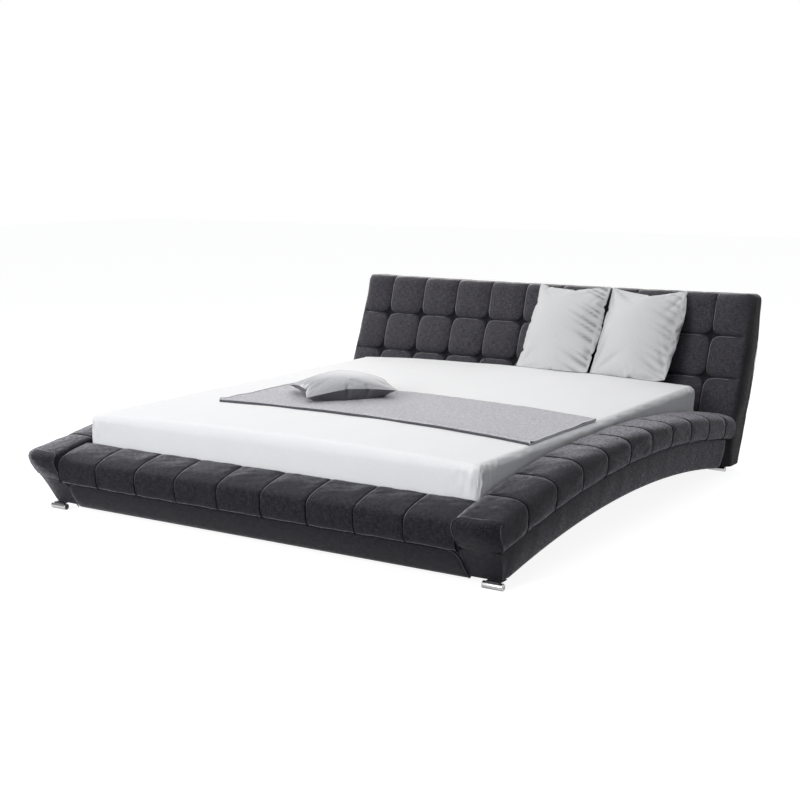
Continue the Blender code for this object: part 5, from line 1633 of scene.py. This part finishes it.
    def threads(self) -> None:
        """Make the pale strands on the tufts' left and top rims, which paint highlights, and the stitched
        seams down the sides.
        """
        paths = [self.rim(column, row) for column in range(self.columns) for row in range(self.rows + 1)]
        sew("headboard_thread", paths, self.thread_radius, self.finishes.thread, 5)
        heights = np.linspace(0.20, self.height - 0.03, 60)
        back = self.back_curve(heights) - 0.024
        front = self.front_curve(heights) + self.wrap_at(np.full(heights.shape, self.half), heights)
        out = self.half + self.swell(heights, back - front) + 0.0012
        sides = [xyz(side.value * out, back, heights) for side in Side]
        sew("headboard_side_seam", sides, self.thread_radius, self.finishes.thread)

    def build(self) -> None:
        """Make the headboard's pieces."""
        self.pad()
        self.threads()


# Feet


@dataclass
class RollerFoot:
    """One chrome foot: a round bar with dark plugs under a plate on a web."""

    node: str
    finishes: Finishes
    radius: float = 0.013
    plug_radius: float = 0.010
    plug_proud: float = 0.0015
    edge: float = 0.0012
    sides: int = 48

    def turned(self, name: str, profile: Sequence[tuple[float, float]], centre: Vector,
               material: Material) -> Piece:
        """Turn an outline of (x, radius) points round the bar's axis."""
        turns = np.linspace(0.0, math.tau, self.sides + 1)
        rows = [xyz(centre.x + x, centre.y + radius * np.sin(turns), centre.z + radius * np.cos(turns))
                for x, radius in profile]
        return Skin(name).add(np.stack(rows)).build(material)

    def build(self) -> None:
        """Make the foot in place of its node."""
        low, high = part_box(self.node)
        side = 1.0 if low.x > 0 else -1.0
        half = (high.x - low.x) / 2 - self.plug_proud
        centre = Vector(((low.x + high.x) / 2, low.y + self.radius, self.radius))
        arc = [(half - self.edge + self.edge * math.sin(a), self.radius - self.edge + self.edge * math.cos(a))
               for a in np.linspace(0.0, math.pi / 2, 5)]
        lip = [(half, self.plug_radius + 0.0004), (half - 0.0012, self.plug_radius), (half - 0.0012, 0.0)]
        right = arc + lip
        left = [(-x, r) for x, r in reversed(right)]
        bar = self.turned(f"{self.node}_bar", left + right, centre, self.finishes.chrome)
        keep(bar, "frame", "chrome", [self.node])
        for way, word in ((-1.0, "inner"), (1.0, "outer")):
            place = Vector((centre.x + side * way * half, centre.y, centre.z))
            sign = side * way
            profile = [(sign * x, r) for x, r in (
                (-0.004, 0.0), (-0.004, self.plug_radius - 0.0003), (0.0006, self.plug_radius - 0.0003),
                (0.0013, self.plug_radius - 0.0014), (self.plug_proud, self.plug_radius * 0.5),
                (self.plug_proud, 0.0))]
            finish = self.finishes.plastic if word == "inner" else self.finishes.chrome
            keep(self.turned(f"{self.node}_plug_{word}", profile, place, finish), "frame", "black_plastic")
        self.plate(low, high, centre)

    def plate(self, low: Vector, high: Vector, centre: Vector) -> None:
        """Make the fixing plate and its web."""
        top = high.z
        half = 0.027
        bm = bmesh.new()
        for near, far, under, over in (
                (low.y + 0.007, high.y, top - 0.0034, top),
                (centre.y - 0.006, centre.y + 0.006, self.radius, top - 0.002)):
            made = bmesh.ops.create_cube(bm, size=1.0)["verts"]
            for vertex in made:
                vertex.co = Vector((
                    centre.x + 2 * half * vertex.co.x, mix(near, far, vertex.co.y + 0.5),
                    mix(under, over, vertex.co.z + 0.5)))
        mesh = bpy.data.meshes.new(f"{self.node}_plate")
        bmesh.ops.bevel(bm, geom=bm.edges[:], offset=0.0008, segments=3, profile=0.5, affect="EDGES")
        bm.to_mesh(mesh)
        bm.free()
        piece = place_mesh(f"{self.node}_plate", mesh, self.finishes.steel)
        keep(piece, "frame", "chrome")


# Bedding


@dataclass
class Bedding:
    """The mattress and the fitted sheet over it."""

    finishes: Finishes
    radius: float = 0.028
    sheet: float = 0.0012
    clearance: float = 0.0007
    hem: float = 0.180

    def arc(self) -> list[float]:
        """Return how far the cuts of a rounded edge lie from the block's flat side."""
        return [self.radius * (1.0 - math.tan(math.radians(turn))) for turn in (45, 36, 27, 18, 9, 0)]

    def cuts(self, half: float, fine: bool) -> Array:
        """Return shares along an edge of the block, close together at its corners."""
        if fine:
            near = [*self.arc(), *np.arange(self.radius + 0.006, 0.16, 0.006), *np.arange(0.165, half, 0.018)]
        else:
            near = [*self.arc(), *np.arange(self.radius + 0.03, half, 0.06)]
        near = np.array(near) / (2 * half)
        return np.unique(np.concatenate([near, 1.0 - near, [0.5]]))

    @staticmethod
    def ends(inset: float) -> tuple[Array, Array]:
        """Return the lowest and highest corners of the block, drawn in by an inset."""
        half_x, half_y = PLAN.mattress_half_x - inset, PLAN.mattress_half_y - inset
        return (np.array([-half_x, PLAN.middle_y - half_y, PLAN.slat_top + PLAN.rest_gap + inset]),
                np.array([half_x, PLAN.middle_y + half_y, PLAN.sheet_edge - inset]))

    def rounded_block(self, inset: float, x: Array, y: Array, z: Array) -> tuple[Array, Array]:
        """Round the edges of the bedding's block and lay its crown on it.

        Args:
            inset: how far the block is drawn in.
            x: widths on the block.
            y: lengths on the block.
            z: heights on the block.

        Returns:
            The points and the outward directions.
        """
        lower, upper = self.ends(inset)
        points = xyz(x, y, z)
        core = np.clip(points, lower + self.radius, upper - self.radius)
        away = points - core
        length = np.maximum(np.linalg.norm(away, axis=-1, keepdims=True), 1e-9)
        points = core + away / length * self.radius
        lift = smooth((points[..., 2] - (upper[2] - self.radius)) / self.radius)
        points[..., 2] += PLAN.crown(points[..., 0]) * lift
        return points, away / length

    def block(self, name: str, inset: float, fine: bool, skip: Sequence[str] = ()) -> Skin:
        """Make the skin of the block.

        Args:
            name: the object's name.
            inset: how far it is drawn in.
            fine: whether it carries the sheet's wrinkles.
            skip: the faces to leave out.

        Returns:
            The skin.
        """
        lower, upper = self.ends(inset)
        half_x, half_y = PLAN.mattress_half_x - inset, PLAN.mattress_half_y - inset
        tall = (upper[2] - lower[2]) / 2
        arc = np.array(self.arc())
        flat = np.linspace(self.radius, 2 * tall - self.radius, 12)
        rise = np.unique(np.concatenate([arc, 2 * tall - arc, flat]))
        cuts = (self.cuts(half_x, fine), self.cuts(half_y, fine), rise / (2 * tall))
        skin = Skin(name)
        for face, u, v, w in block_faces(cuts):
            if face in skip:
                continue
            place = (mix(lower[k], upper[k], share) for k, share in enumerate((u, v, w)))
            points, away = self.rounded_block(inset, *place)
            cloth = arc_lengths(points)
            if fine:
                points = points + away * self.wrinkles(points, away)[..., None]
            skin.add(points, cloth=cloth)
        return skin

    def wrinkles(self, points: Array, away: Array) -> Array:
        """Return how far the sheet's folds stand out at its points."""
        x, y, z = points[..., 0], points[..., 1], points[..., 2]
        from_corner = np.hypot(
            PLAN.mattress_half_x - np.abs(x), PLAN.mattress_half_y - np.abs(y - PLAN.middle_y))
        upright = 1.0 - np.abs(away[..., 2])
        around = xyz(x, y, z * 0.16)
        gathers = np.abs(ripple(around, 71, 0.020, 9)) - 0.6
        tight = np.exp(-(from_corner / 0.115) ** 2)
        edge = np.exp(-((z - PLAN.sheet_edge + 0.012) / 0.022) ** 2) * np.abs(away[..., 0])
        pleats = np.clip(ripple(around, 72, 0.024, 9) - 0.1, 0.0, 2.0)
        level = smooth((z - PLAN.sheet_edge + 0.03) / 0.03) * (1.0 - upright)
        flow = ripple(points * (1.0, 0.45, 1.0), 73, 0.34)
        return (0.0042 * tight * gathers * upright ** 0.5 + 0.0048 * edge * pleats
                + 0.0011 * upright * ripple(around, 74, 0.10) + 0.0009 * level * flow)

    def mattress(self) -> None:
        """Make the mattress inside the sheet."""
        inset = self.sheet + self.clearance + 0.0012
        piece = self.block("mattress_core", inset, False).build(self.finishes.ticking)
        keep(piece, "bedding", "mattress_ticking", ["mattress"])

    def fitted_sheet(self) -> None:
        """Make the sheet, open underneath inside its hem."""
        skin = self.block("cotton_sheet", 0.0, True, ("bottom",))
        half_x, half_y = PLAN.mattress_half_x, PLAN.mattress_half_y
        low = PLAN.slat_top + PLAN.rest_gap
        reach = np.array([*self.arc(), *np.linspace(self.radius + 0.02, self.hem, 6)])
        for axis, half, other in ((0, half_x, half_y), (1, half_y, half_x)):
            run = mix(-other, other, self.cuts(other, True))
            for sign in (-1.0, 1.0):
                out, along = np.meshgrid(sign * (half - reach), run, indexing="ij")
                if axis == 0:
                    x, y = out, along + PLAN.middle_y
                else:
                    limit = half_x - reach[:, None]
                    x, y = np.clip(along, -limit, limit), out + PLAN.middle_y
                points, _ = self.rounded_block(0.0, x, y, np.full(x.shape, low))
                skin.add(points)
        piece = skin.build(self.finishes.percale, closed=False)
        keep(piece, "bedding", "white_cotton", ["fitted_sheet"])

    def build(self) -> None:
        """Make the bedding's pieces."""
        self.mattress()
        self.fitted_sheet()


@dataclass
class Runner:
    """The woven throw, folded double into a band across the mattress."""

    finishes: Finishes
    left: float = -0.600
    right: float = 0.880
    near: float = 0.455
    far: float = 1.015
    skew: float = 0.045
    thickness: float = 0.0048
    fold: float = 0.0056
    ply: float = 0.0019
    fold_point: int = 41

    def line(self, u: float) -> Array:
        """Return the section of the throw at a share of its length.

        Args:
            u: the share along the band.

        Returns:
            The points from the lower layer's far edge, round the fold, to the upper one's.
        """
        x = mix(self.left, self.right, u)
        slip = self.skew * max(0.0, u - 0.5) * 2
        near = PLAN.foot_y + self.near - slip + 0.003 * math.sin(5.0 * u)
        far = PLAN.foot_y + self.far - slip
        runs = np.concatenate([[0.0], np.linspace(0.02, 0.9, 34), [0.93, 0.955, 0.975, 0.99]])
        low = np.full(runs.shape, 0.0009)
        y_low = mix(far, near + self.fold, runs)
        turns = np.linspace(-math.pi / 2, math.pi / 2, 11)[1:-1]
        y_fold = near + self.fold - self.fold * np.cos(turns)
        z_fold = self.fold + self.fold * np.sin(turns)
        hem = np.exp(-((y_low - near) / 0.03) ** 2)[::-1]
        high = mix(self.thickness, 2 * self.fold - 0.0002, hem)
        y = np.concatenate([y_low, y_fold, y_low[::-1]])
        z = np.concatenate([low, z_fold, high])
        return xyz(x, y, z)

    def build(self) -> None:
        """Make the folded throw and its pale end hems."""
        runs = np.unique([0.0, 0.003, 0.008, *np.linspace(0.015, 0.985, 96), 0.992, 0.997, 1.0])
        grid = np.stack([self.line(float(u)) for u in runs])
        base = PLAN.sheet_edge + PLAN.crown(grid[..., 0]) + 0.0016
        flat = grid * (1.0, 1.0, 0.0)
        wave = 0.0011 * ripple(flat, 81, 0.22) + 0.0005 * ripple(flat, 82, 0.07)
        share = np.clip(grid[..., 2] / self.thickness, 0.0, 1.0)
        grid[..., 1] += 0.004 * ripple(grid * (1.0, 0.0, 0.0), 83, 0.5)
        grid[..., 2] += base + share * (wave + 0.0016)
        piece = Skin("folded_throw").add(grid).build(self.finishes.runner_weave, closed=False)
        thick = piece.modifiers.new("ply", "SOLIDIFY")
        thick.thickness = self.ply
        thick.offset = 0.0
        keep(piece, "runner", "grey_weave", ["runner"])
        # The last strand, a dark roll along the fold, paints the shade under the folded edge.
        for name, path, off, radius, finish in (
                ("throw_rolled_end", grid[0], (-0.001, 0.0, 0.0012), 0.0024, self.finishes.runner_weave),
                ("throw_binding", grid[-1], (0.001, 0.0, 0.0008), 0.0026, self.finishes.hem),
                ("throw_folded_edge", grid[:, self.fold_point], (0.0, -0.0012, 0.0), 0.0052,
                 self.finishes.fold_shade)):
            keep(tube(name, [path + np.array(off)], radius, finish), "runner", "grey_weave")


@dataclass
class Cushion:
    """A stuffed square cushion, blown up as cloth and laid where it rests."""

    name: str
    node: str
    body: str
    slot: str
    material: Material
    width: float
    height: float
    thickness: float
    pressure: float
    seed: int
    to_world: Callable[[Array], Array]
    settle: Callable[[Array], Array]
    pucker: float = 0.0012
    back: Material | None = None
    bow: float = 0.055
    slack: float = 0.014
    cells: int = 64
    frames: int = 14
    bending: float = 0.5
    tension: float = 60.0
    dome: float = 0.6
    dip: float = 0.0
    sit: float = 0.0
    bulge: tuple[float, float] = (0.0, 0.0)
    under: float = 1.0
    over: float = 1.0
    pleat_side: float = 0.0
    pleat: float = 0.005
    fold: float = 0.005
    fold_reach: float = 0.075

    def cover(self) -> Piece:
        """Make the slack cover, with X across it, Z up it and its face at -Y.

        Returns:
            The cover. Its cut bows outwards, so that its sides come out straight once it is full.
        """
        share = np.linspace(-1.0, 1.0, self.cells + 1)
        share = np.sign(share) * (1.0 - (1.0 - np.abs(share)) ** 1.25)
        across, up = np.meshgrid(share, share, indexing="ij")
        full = np.sqrt(np.maximum(0.0, (1.0 - across ** 2) * (1.0 - up ** 2)))
        x = across * self.width / 2 * (1.0 + self.bow * (1.0 - up ** 2))
        z = up * self.height / 2 * (1.0 + self.bow * (1.0 - across ** 2))
        flat = xyz(x, z, 0.0)
        beside, below = (np.exp(-((1.0 - np.abs(share)) / 0.16) ** 1.3) for share in (across, up))
        gathers = (beside * ripple(flat * (0.0, 1.0, 0.0), self.seed, 0.030)
                   + below * ripple(flat * (1.0, 0.0, 0.0), self.seed, 0.034))
        skin = Skin(self.name)
        for way in (-1.0, 1.0):
            depth = way * (self.slack * full + self.pucker * gathers * np.minimum(1.0, full * 6.0))
            skin.add(xyz(x, depth, z))
        piece = skin.build(self.material)
        if self.back:
            piece.data.materials.append(self.back)
            for face in piece.data.polygons:
                face.material_index = int(face.center.y > 0.0)
        return piece

    def blow_up(self, piece: Piece) -> None:
        """Fill the cover by a short cloth simulation, and keep only its result."""
        step = piece.modifiers.new("filling", "CLOTH")
        settings = {
            "quality": 6, "mass": 0.25, "tension_stiffness": self.tension,
            "compression_stiffness": self.tension * 0.7, "shear_stiffness": self.tension * 0.35,
            "bending_stiffness": self.bending, "use_pressure": True,
            "uniform_pressure_force": self.pressure}
        for name, value in settings.items():
            setattr(step.settings, name, value)
        step.settings.effector_weights.gravity = 0.0
        step.collision_settings.use_collision = False
        step.point_cache.frame_start = 1
        step.point_cache.frame_end = self.frames
        scene = bpy.context.scene
        for number in range(1, self.frames + 1):
            scene.frame_set(number)
        view = bpy.context.evaluated_depsgraph_get()
        solved = piece.evaluated_get(view).data
        points = np.zeros(len(solved.vertices) * 3)
        solved.vertices.foreach_get("co", points)
        piece.modifiers.clear()
        scene.frame_set(1)
        set_points(piece, points.reshape(-1, 3))

    def domed(self, points: Array) -> Array:
        """Return the filled cover's points, fuller in the middle and dipped at its top and foot."""
        points = points.copy()
        across = np.clip(2.0 * points[:, 0] / self.width, -1.0, 1.0)
        up = np.clip(2.0 * points[:, 2] / self.height, -1.0, 1.0)
        full = np.maximum(0.0, (1.0 - across ** 2) * (1.0 - up ** 2))
        points[:, 1] *= mix(1.0 - self.dome, 1.0, full)
        points[:, 1] *= np.where(points[:, 1] > 0.0, self.under, self.over)
        points[:, 2] -= self.dip * (1.0 - across ** 2) * smooth((up + 0.2) / 1.2)
        points[:, 2] -= self.sit * (1.0 - across ** 2) * smooth((-0.2 - up) / 0.8)
        bulge = np.where(across > 0.0, self.bulge[1], self.bulge[0])
        points[:, 0] *= 1.0 + bulge * (1.0 - up ** 2)
        return points

    def creased(self, points: Array) -> tuple[Array, Array]:
        """Return the points with folds from the corners and pleats along one seam, and marks that paint shade
        in them.
        """
        points = points.copy()
        draw = np.random.default_rng(self.seed)
        x, z = points[:, 0], points[:, 2]
        inward = -np.sign(points[:, 1]) * np.minimum(1.0, np.abs(points[:, 1]) / 0.012)
        depth = np.zeros(x.shape)
        for side, top in ((-1, -1), (-1, 1), (1, -1), (1, 1)):
            aside, below = side * (side * self.width / 2 - x), top * (top * self.height / 2 - z)
            reach = np.hypot(aside, below)
            turn = np.arctan2(below, aside)
            share = reach / (self.fold_reach * draw.uniform(0.8, 1.2))
            valley = (1.0 - np.abs(np.sin(5.0 * turn + draw.uniform(0.0, 3.0)))) ** 2.2
            depth += self.fold * draw.uniform(0.6, 1.0) * valley * share ** 2 * np.exp(1.0 - share ** 2)
        marks = depth / 0.030
        if self.pleat_side:
            aside = self.pleat_side * (self.pleat_side * self.width / 2 - x)
            run = z - 0.40 * aside
            flat = xyz(run, 0.0, 0.0)
            phase = math.pi * run / 0.042 + 0.9 * ripple(flat, self.seed + 5, 0.12)
            valley = (1.0 - np.abs(np.sin(phase))) ** 1.5
            length = 0.070 + 0.030 * ripple(flat, self.seed + 6, 0.06)
            fade = np.exp(-(aside / np.maximum(length, 0.02)) ** 2) * (1.0 - np.exp(-(aside / 0.007) ** 2))
            depth += self.pleat * valley * fade
            marks += self.pleat * valley * fade / 0.010
        points[:, 1] += inward * depth
        return points, np.clip(marks, 0.0, 1.0)

    def build(self) -> Piece:
        """Make the cushion in place of its node."""
        piece = self.cover()
        self.blow_up(piece)
        points = points_of(piece)
        points -= (points.max(axis=0) + points.min(axis=0)) / 2
        wanted = np.array([self.width, self.thickness, self.height])
        points *= wanted / (points.max(axis=0) - points.min(axis=0))
        points, marks = self.creased(self.domed(points))
        # The marks paint shade in the folds and pleats.
        piece.data.attributes["crease_mark"].data.foreach_set("value", marks.astype(np.float32))
        set_points(piece, self.settle(self.to_world(points)))
        round_it = piece.modifiers.new("smooth", "SUBSURF")
        round_it.levels = round_it.render_levels = 1
        return keep(piece, self.body, self.slot, [self.node])


@dataclass
class CushionGroup:
    """The two white cushions against the headboard and the grey one on the throw."""

    finishes: Finishes
    headboard: Headboard
    pillow_width: float = 0.384
    pillow_height: float = 0.462
    pillow_thickness: float = 0.165
    pillow_places: tuple[float, float] = (0.182, 0.571)
    pillow_reach: float = -0.0265
    pillow_lean: float = math.radians(32.0)
    pillow_turn: float = math.radians(2.0)
    pillow_roll: float = math.radians(0.5)
    throw_width: float = 0.392
    throw_depth: float = 0.338
    throw_thickness: float = 0.116
    throw_x: float = -0.213
    throw_y: float = -0.2860
    throw_turn: float = math.radians(50.0)
    throw_seam: float = 0.051

    def lean(self, place_x: float) -> Callable[[Array], Array]:
        """Return the rule that stands a pillow up and leans it back at a place."""
        half = self.pillow_height / 2
        foot = PLAN.sheet_edge + float(PLAN.crown(np.array(place_x - self.pillow_width / 2))) - 0.0015
        centre = np.array([
            place_x, PLAN.head_y + self.pillow_reach + half * math.sin(self.pillow_lean),
            foot + half * math.cos(self.pillow_lean)])
        cos, sin = math.cos(self.pillow_lean), math.sin(self.pillow_lean)
        turned_cos, turned_sin = math.cos(self.pillow_turn), math.sin(self.pillow_turn)
        rolled_cos, rolled_sin = math.cos(self.pillow_roll), math.sin(self.pillow_roll)

        def rule(points: Array) -> Array:
            """Turn a pillow a little to the right side, lean it back and set it down."""
            x, y, z = points.T
            x, z = x * rolled_cos + z * rolled_sin, z * rolled_cos - x * rolled_sin
            x, y = x * turned_cos + y * turned_sin, y * turned_cos - x * turned_sin
            return xyz(x, y * cos + z * sin, z * cos - y * sin) + centre

        return rule

    def against_headboard(self, points: Array) -> Array:
        """Return a pillow's points clear of the headboard and the sheet."""
        points = points.copy()
        limit = self.headboard.face(points[:, 0], np.clip(points[:, 2], 0.2, 0.78)) - 0.001
        points[:, 1] = np.minimum(points[:, 1], limit)
        floor = PLAN.sheet_edge + PLAN.crown(points[:, 0]) + 0.0018
        points[:, 2] = np.maximum(points[:, 2], floor)
        return points

    def lay(self, points: Array) -> Array:
        """Turn the grey cushion flat and set it on the throw, its seam up in the middle of each side."""
        x, y, z = points.T
        cos, sin = math.cos(self.throw_turn), math.sin(self.throw_turn)
        rest = PLAN.sheet_edge + float(PLAN.crown(np.array(self.throw_x))) + 0.0080
        wide, deep = 2.0 * x / self.throw_width, 2.0 * z / self.throw_depth
        corner = np.clip(np.abs(wide * deep), 0.0, 1.0) ** 1.5
        tip = corner * (wide > 0.0) * (deep < 0.0)
        drop = 0.027 * corner - 0.012 * tip
        return xyz(self.throw_x + x * cos - z * sin, self.throw_y + x * sin + z * cos,
                   rest + self.throw_seam - y - drop)

    def on_throw(self, points: Array) -> Array:
        """Flatten the grey cushion's underside on the throw."""
        points = points.copy()
        floor = PLAN.sheet_edge + PLAN.crown(points[:, 0]) + 0.0096
        points[:, 2] = np.maximum(points[:, 2], floor)
        return points

    def build(self) -> None:
        """Make the three cushions."""
        for index, place_x in enumerate(self.pillow_places, 1):
            Cushion(
                f"white_pillow_{index}", f"pillow_{index}", f"pillow_{index}", "white_cotton",
                self.finishes.pillow_cotton, self.pillow_width, self.pillow_height, self.pillow_thickness,
                4.0, 90 + index, self.lean(place_x), self.against_headboard, pucker=0.0016 / index, dip=0.026,
                sit=0.026, bulge=(0.05, 0.17), pleat_side=1.0, pleat=0.014 / index,
                fold=0.006 * index, fold_reach=0.06 + 0.02 * index).build()
        Cushion(
            "satin_cushion", "throw_cushion", "throw_cushion", "grey_satin", self.finishes.satin,
            self.throw_width, self.throw_depth, self.throw_thickness, 4.5, 95, self.lay, self.on_throw,
            back=self.finishes.satin_back, bending=1.2, under=2.0, over=0.87, pleat_side=-1.0,
            pleat=0.004).build()


# Frame under the upholstery, and the studio


@dataclass
class Underframe:
    """The timber, steel and plastic parts, which keep their own shapes."""

    finishes: Finishes

    def build(self) -> None:
        """Dress every node that still shows."""
        dress = {
            "rail_board": self.finishes.board_along, "ledger": self.finishes.board_along,
            "foot_board": self.finishes.board_across, "headboard_panel": self.finishes.board_across,
            "headboard_post": self.finishes.board_upright, "headboard_top_rail": self.finishes.board_across,
            "headboard_bottom_rail": self.finishes.board_across, "headboard_back_cover": self.finishes.lining,
            "slat": self.finishes.slat, "bracket": self.finishes.steel, "centre_beam": self.finishes.steel,
            "beam_hanger": self.finishes.steel, "centre_leg": self.finishes.steel,
            "levelling_glide": self.finishes.plastic}
        for name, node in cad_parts.items():
            for start, material in dress.items():
                if name.startswith(start):
                    for holder in node.material_slots:
                        holder.material = material
                    LOG.info("%s: dressed in %s", name, material.name)


@dataclass
class Studio:
    """The floor, the lamps, the world and the camera."""

    eye: tuple[float, float, float] = (3.1283, -5.0606, 1.4029)
    pitch: float = 0.1716
    yaw: float = 0.5688
    focal_pixels: float = 1394.34
    frame_pixels: float = 800.0
    sensor: float = 36.0
    floor_half: float = 20.0

    def camera(self) -> None:
        """Set the camera where the photograph was taken from."""
        data = bpy.data.cameras.new("camera")
        data.sensor_width = self.sensor
        data.lens = self.focal_pixels / self.frame_pixels * self.sensor
        holder = bpy.data.objects.new("camera", data)
        bpy.context.scene.collection.objects.link(holder)
        holder.location = self.eye
        holder.rotation_euler = (math.pi / 2 - self.pitch, 0.0, self.yaw)
        bpy.context.scene.camera = holder

    @staticmethod
    def seen(bench: Bench) -> Socket:
        """Return 1 where the camera, a mirror or glass looks, and 0 where light only bounces."""
        path = bench.add("LightPath")
        seen = bench.math("MAXIMUM", path.outputs["Is Camera Ray"], path.outputs["Is Transmission Ray"])
        return bench.math("MAXIMUM", seen, path.outputs["Is Glossy Ray"])

    def world(self) -> None:
        """Make the soft surrounding light, white where the camera or a mirror sees it."""
        world = bpy.data.worlds.new("studio")
        world.use_nodes = True
        bench = Bench(world.node_tree)
        seen = self.seen(bench)
        light = bench.add("Background", {"Color": (0.93, 0.95, 1.0), "Strength": 0.30})
        white = bench.add("Background", {"Color": (1.0, 1.0, 1.0), "Strength": 1.0})
        both = bench.add("MixShader", {0: seen, 1: light.outputs[0], 2: white.outputs[0]})
        bench.add("OutputWorld", {0: both.outputs[0]})
        bpy.context.scene.world = world

    def floor(self) -> None:
        """Make the pale floor, which keeps a faint shadow."""
        material = bpy.data.materials.new("studio_floor")
        material.use_nodes = True
        bench = Bench(material.node_tree)
        seen = self.seen(bench)
        spots = bench.noise(bench.add("TexCoord").outputs["Object"], 0.6, 3.0)
        pale = bench.blend(spots, (0.34, 0.34, 0.34), (0.37, 0.37, 0.37))
        matt = bench.add("BsdfDiffuse", {"Color": pale})
        soft = bench.add("BsdfDiffuse", {"Color": (0.32, 0.32, 0.32)})
        white = bench.add("Emission", {"Color": (1.0, 1.0, 1.0), "Strength": 0.89})
        shown = bench.add("AddShader", {0: soft.outputs[0], 1: white.outputs[0]})
        both = bench.add("MixShader", {0: seen, 1: matt.outputs[0], 2: shown.outputs[0]})
        bench.add("OutputMaterial", {0: both.outputs[0]})
        across, along = np.meshgrid((-self.floor_half, self.floor_half), (-self.floor_half, self.floor_half))
        floor = Skin("studio_floor").add(xyz(across, along, 0.0)).build(material, closed=False)

    def lamp(self, name: str, place: tuple[float, float, float], aim: tuple[float, float, float],
             size: float, power: float, colour: Colour) -> None:
        """Hang one square soft lamp.

        Args:
            name: the lamp's name.
            place: where it hangs.
            aim: the point that it looks at.
            size: the length of its side.
            power: its power in watts.
            colour: its colour.
        """
        data = bpy.data.lights.new(name, "AREA")
        data.shape = "SQUARE"
        data.size = size
        data.energy = power
        data.color = colour
        holder = bpy.data.objects.new(name, data)
        bpy.context.scene.collection.objects.link(holder)
        holder.location = place
        holder.rotation_euler = (Vector(aim) - Vector(place)).to_track_quat("-Z", "Y").to_euler()

    def build(self) -> None:
        """Make the studio round the bed."""
        self.camera()
        self.world()
        self.floor()
        self.lamp("overhead", (-0.9, 2.0, 4.4), (0.0, 0.1, 0.3), 3.4, 60.0, (1.0, 0.99, 0.98))
        self.lamp("back", (-3.2, 4.9, 3.2), (0.2, -0.2, 0.3), 3.0, 90.0, (1.0, 0.99, 0.98))
        self.lamp("front_high", (0.9, -2.4, 4.8), (0.5, 1.0, 0.5), 2.4, 70.0, (1.0, 1.0, 1.0))
        self.lamp("left_window", (-4.6, 0.6, 2.6), (0.0, 0.2, 0.3), 1.6, 84.0, (1.0, 0.99, 0.98))
        self.lamp("front_left", (-1.0, -6.4, 2.3), (0.0, -0.8, 0.3), 2.4, 222.0, (0.97, 0.98, 1.0))
        bpy.context.scene.view_settings.view_transform = "Standard"


def main() -> None:
    """Build the bed's looks in order."""
    logging.basicConfig(level=logging.INFO, format="%(message)s")
    finishes = Finishes()
    Studio().build()
    headboard = Headboard(finishes)
    headboard.build()
    for side in Side:
        RailUpholstery(side, finishes).build()
    FootUpholstery(finishes).build()
    for node in sorted(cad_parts):
        if node.startswith("roller_foot"):
            RollerFoot(node, finishes).build()
    Bedding(finishes).build()
    Runner(finishes).build()
    CushionGroup(finishes, headboard).build()
    Underframe(finishes).build()


if __name__ == "__main__":
    main()
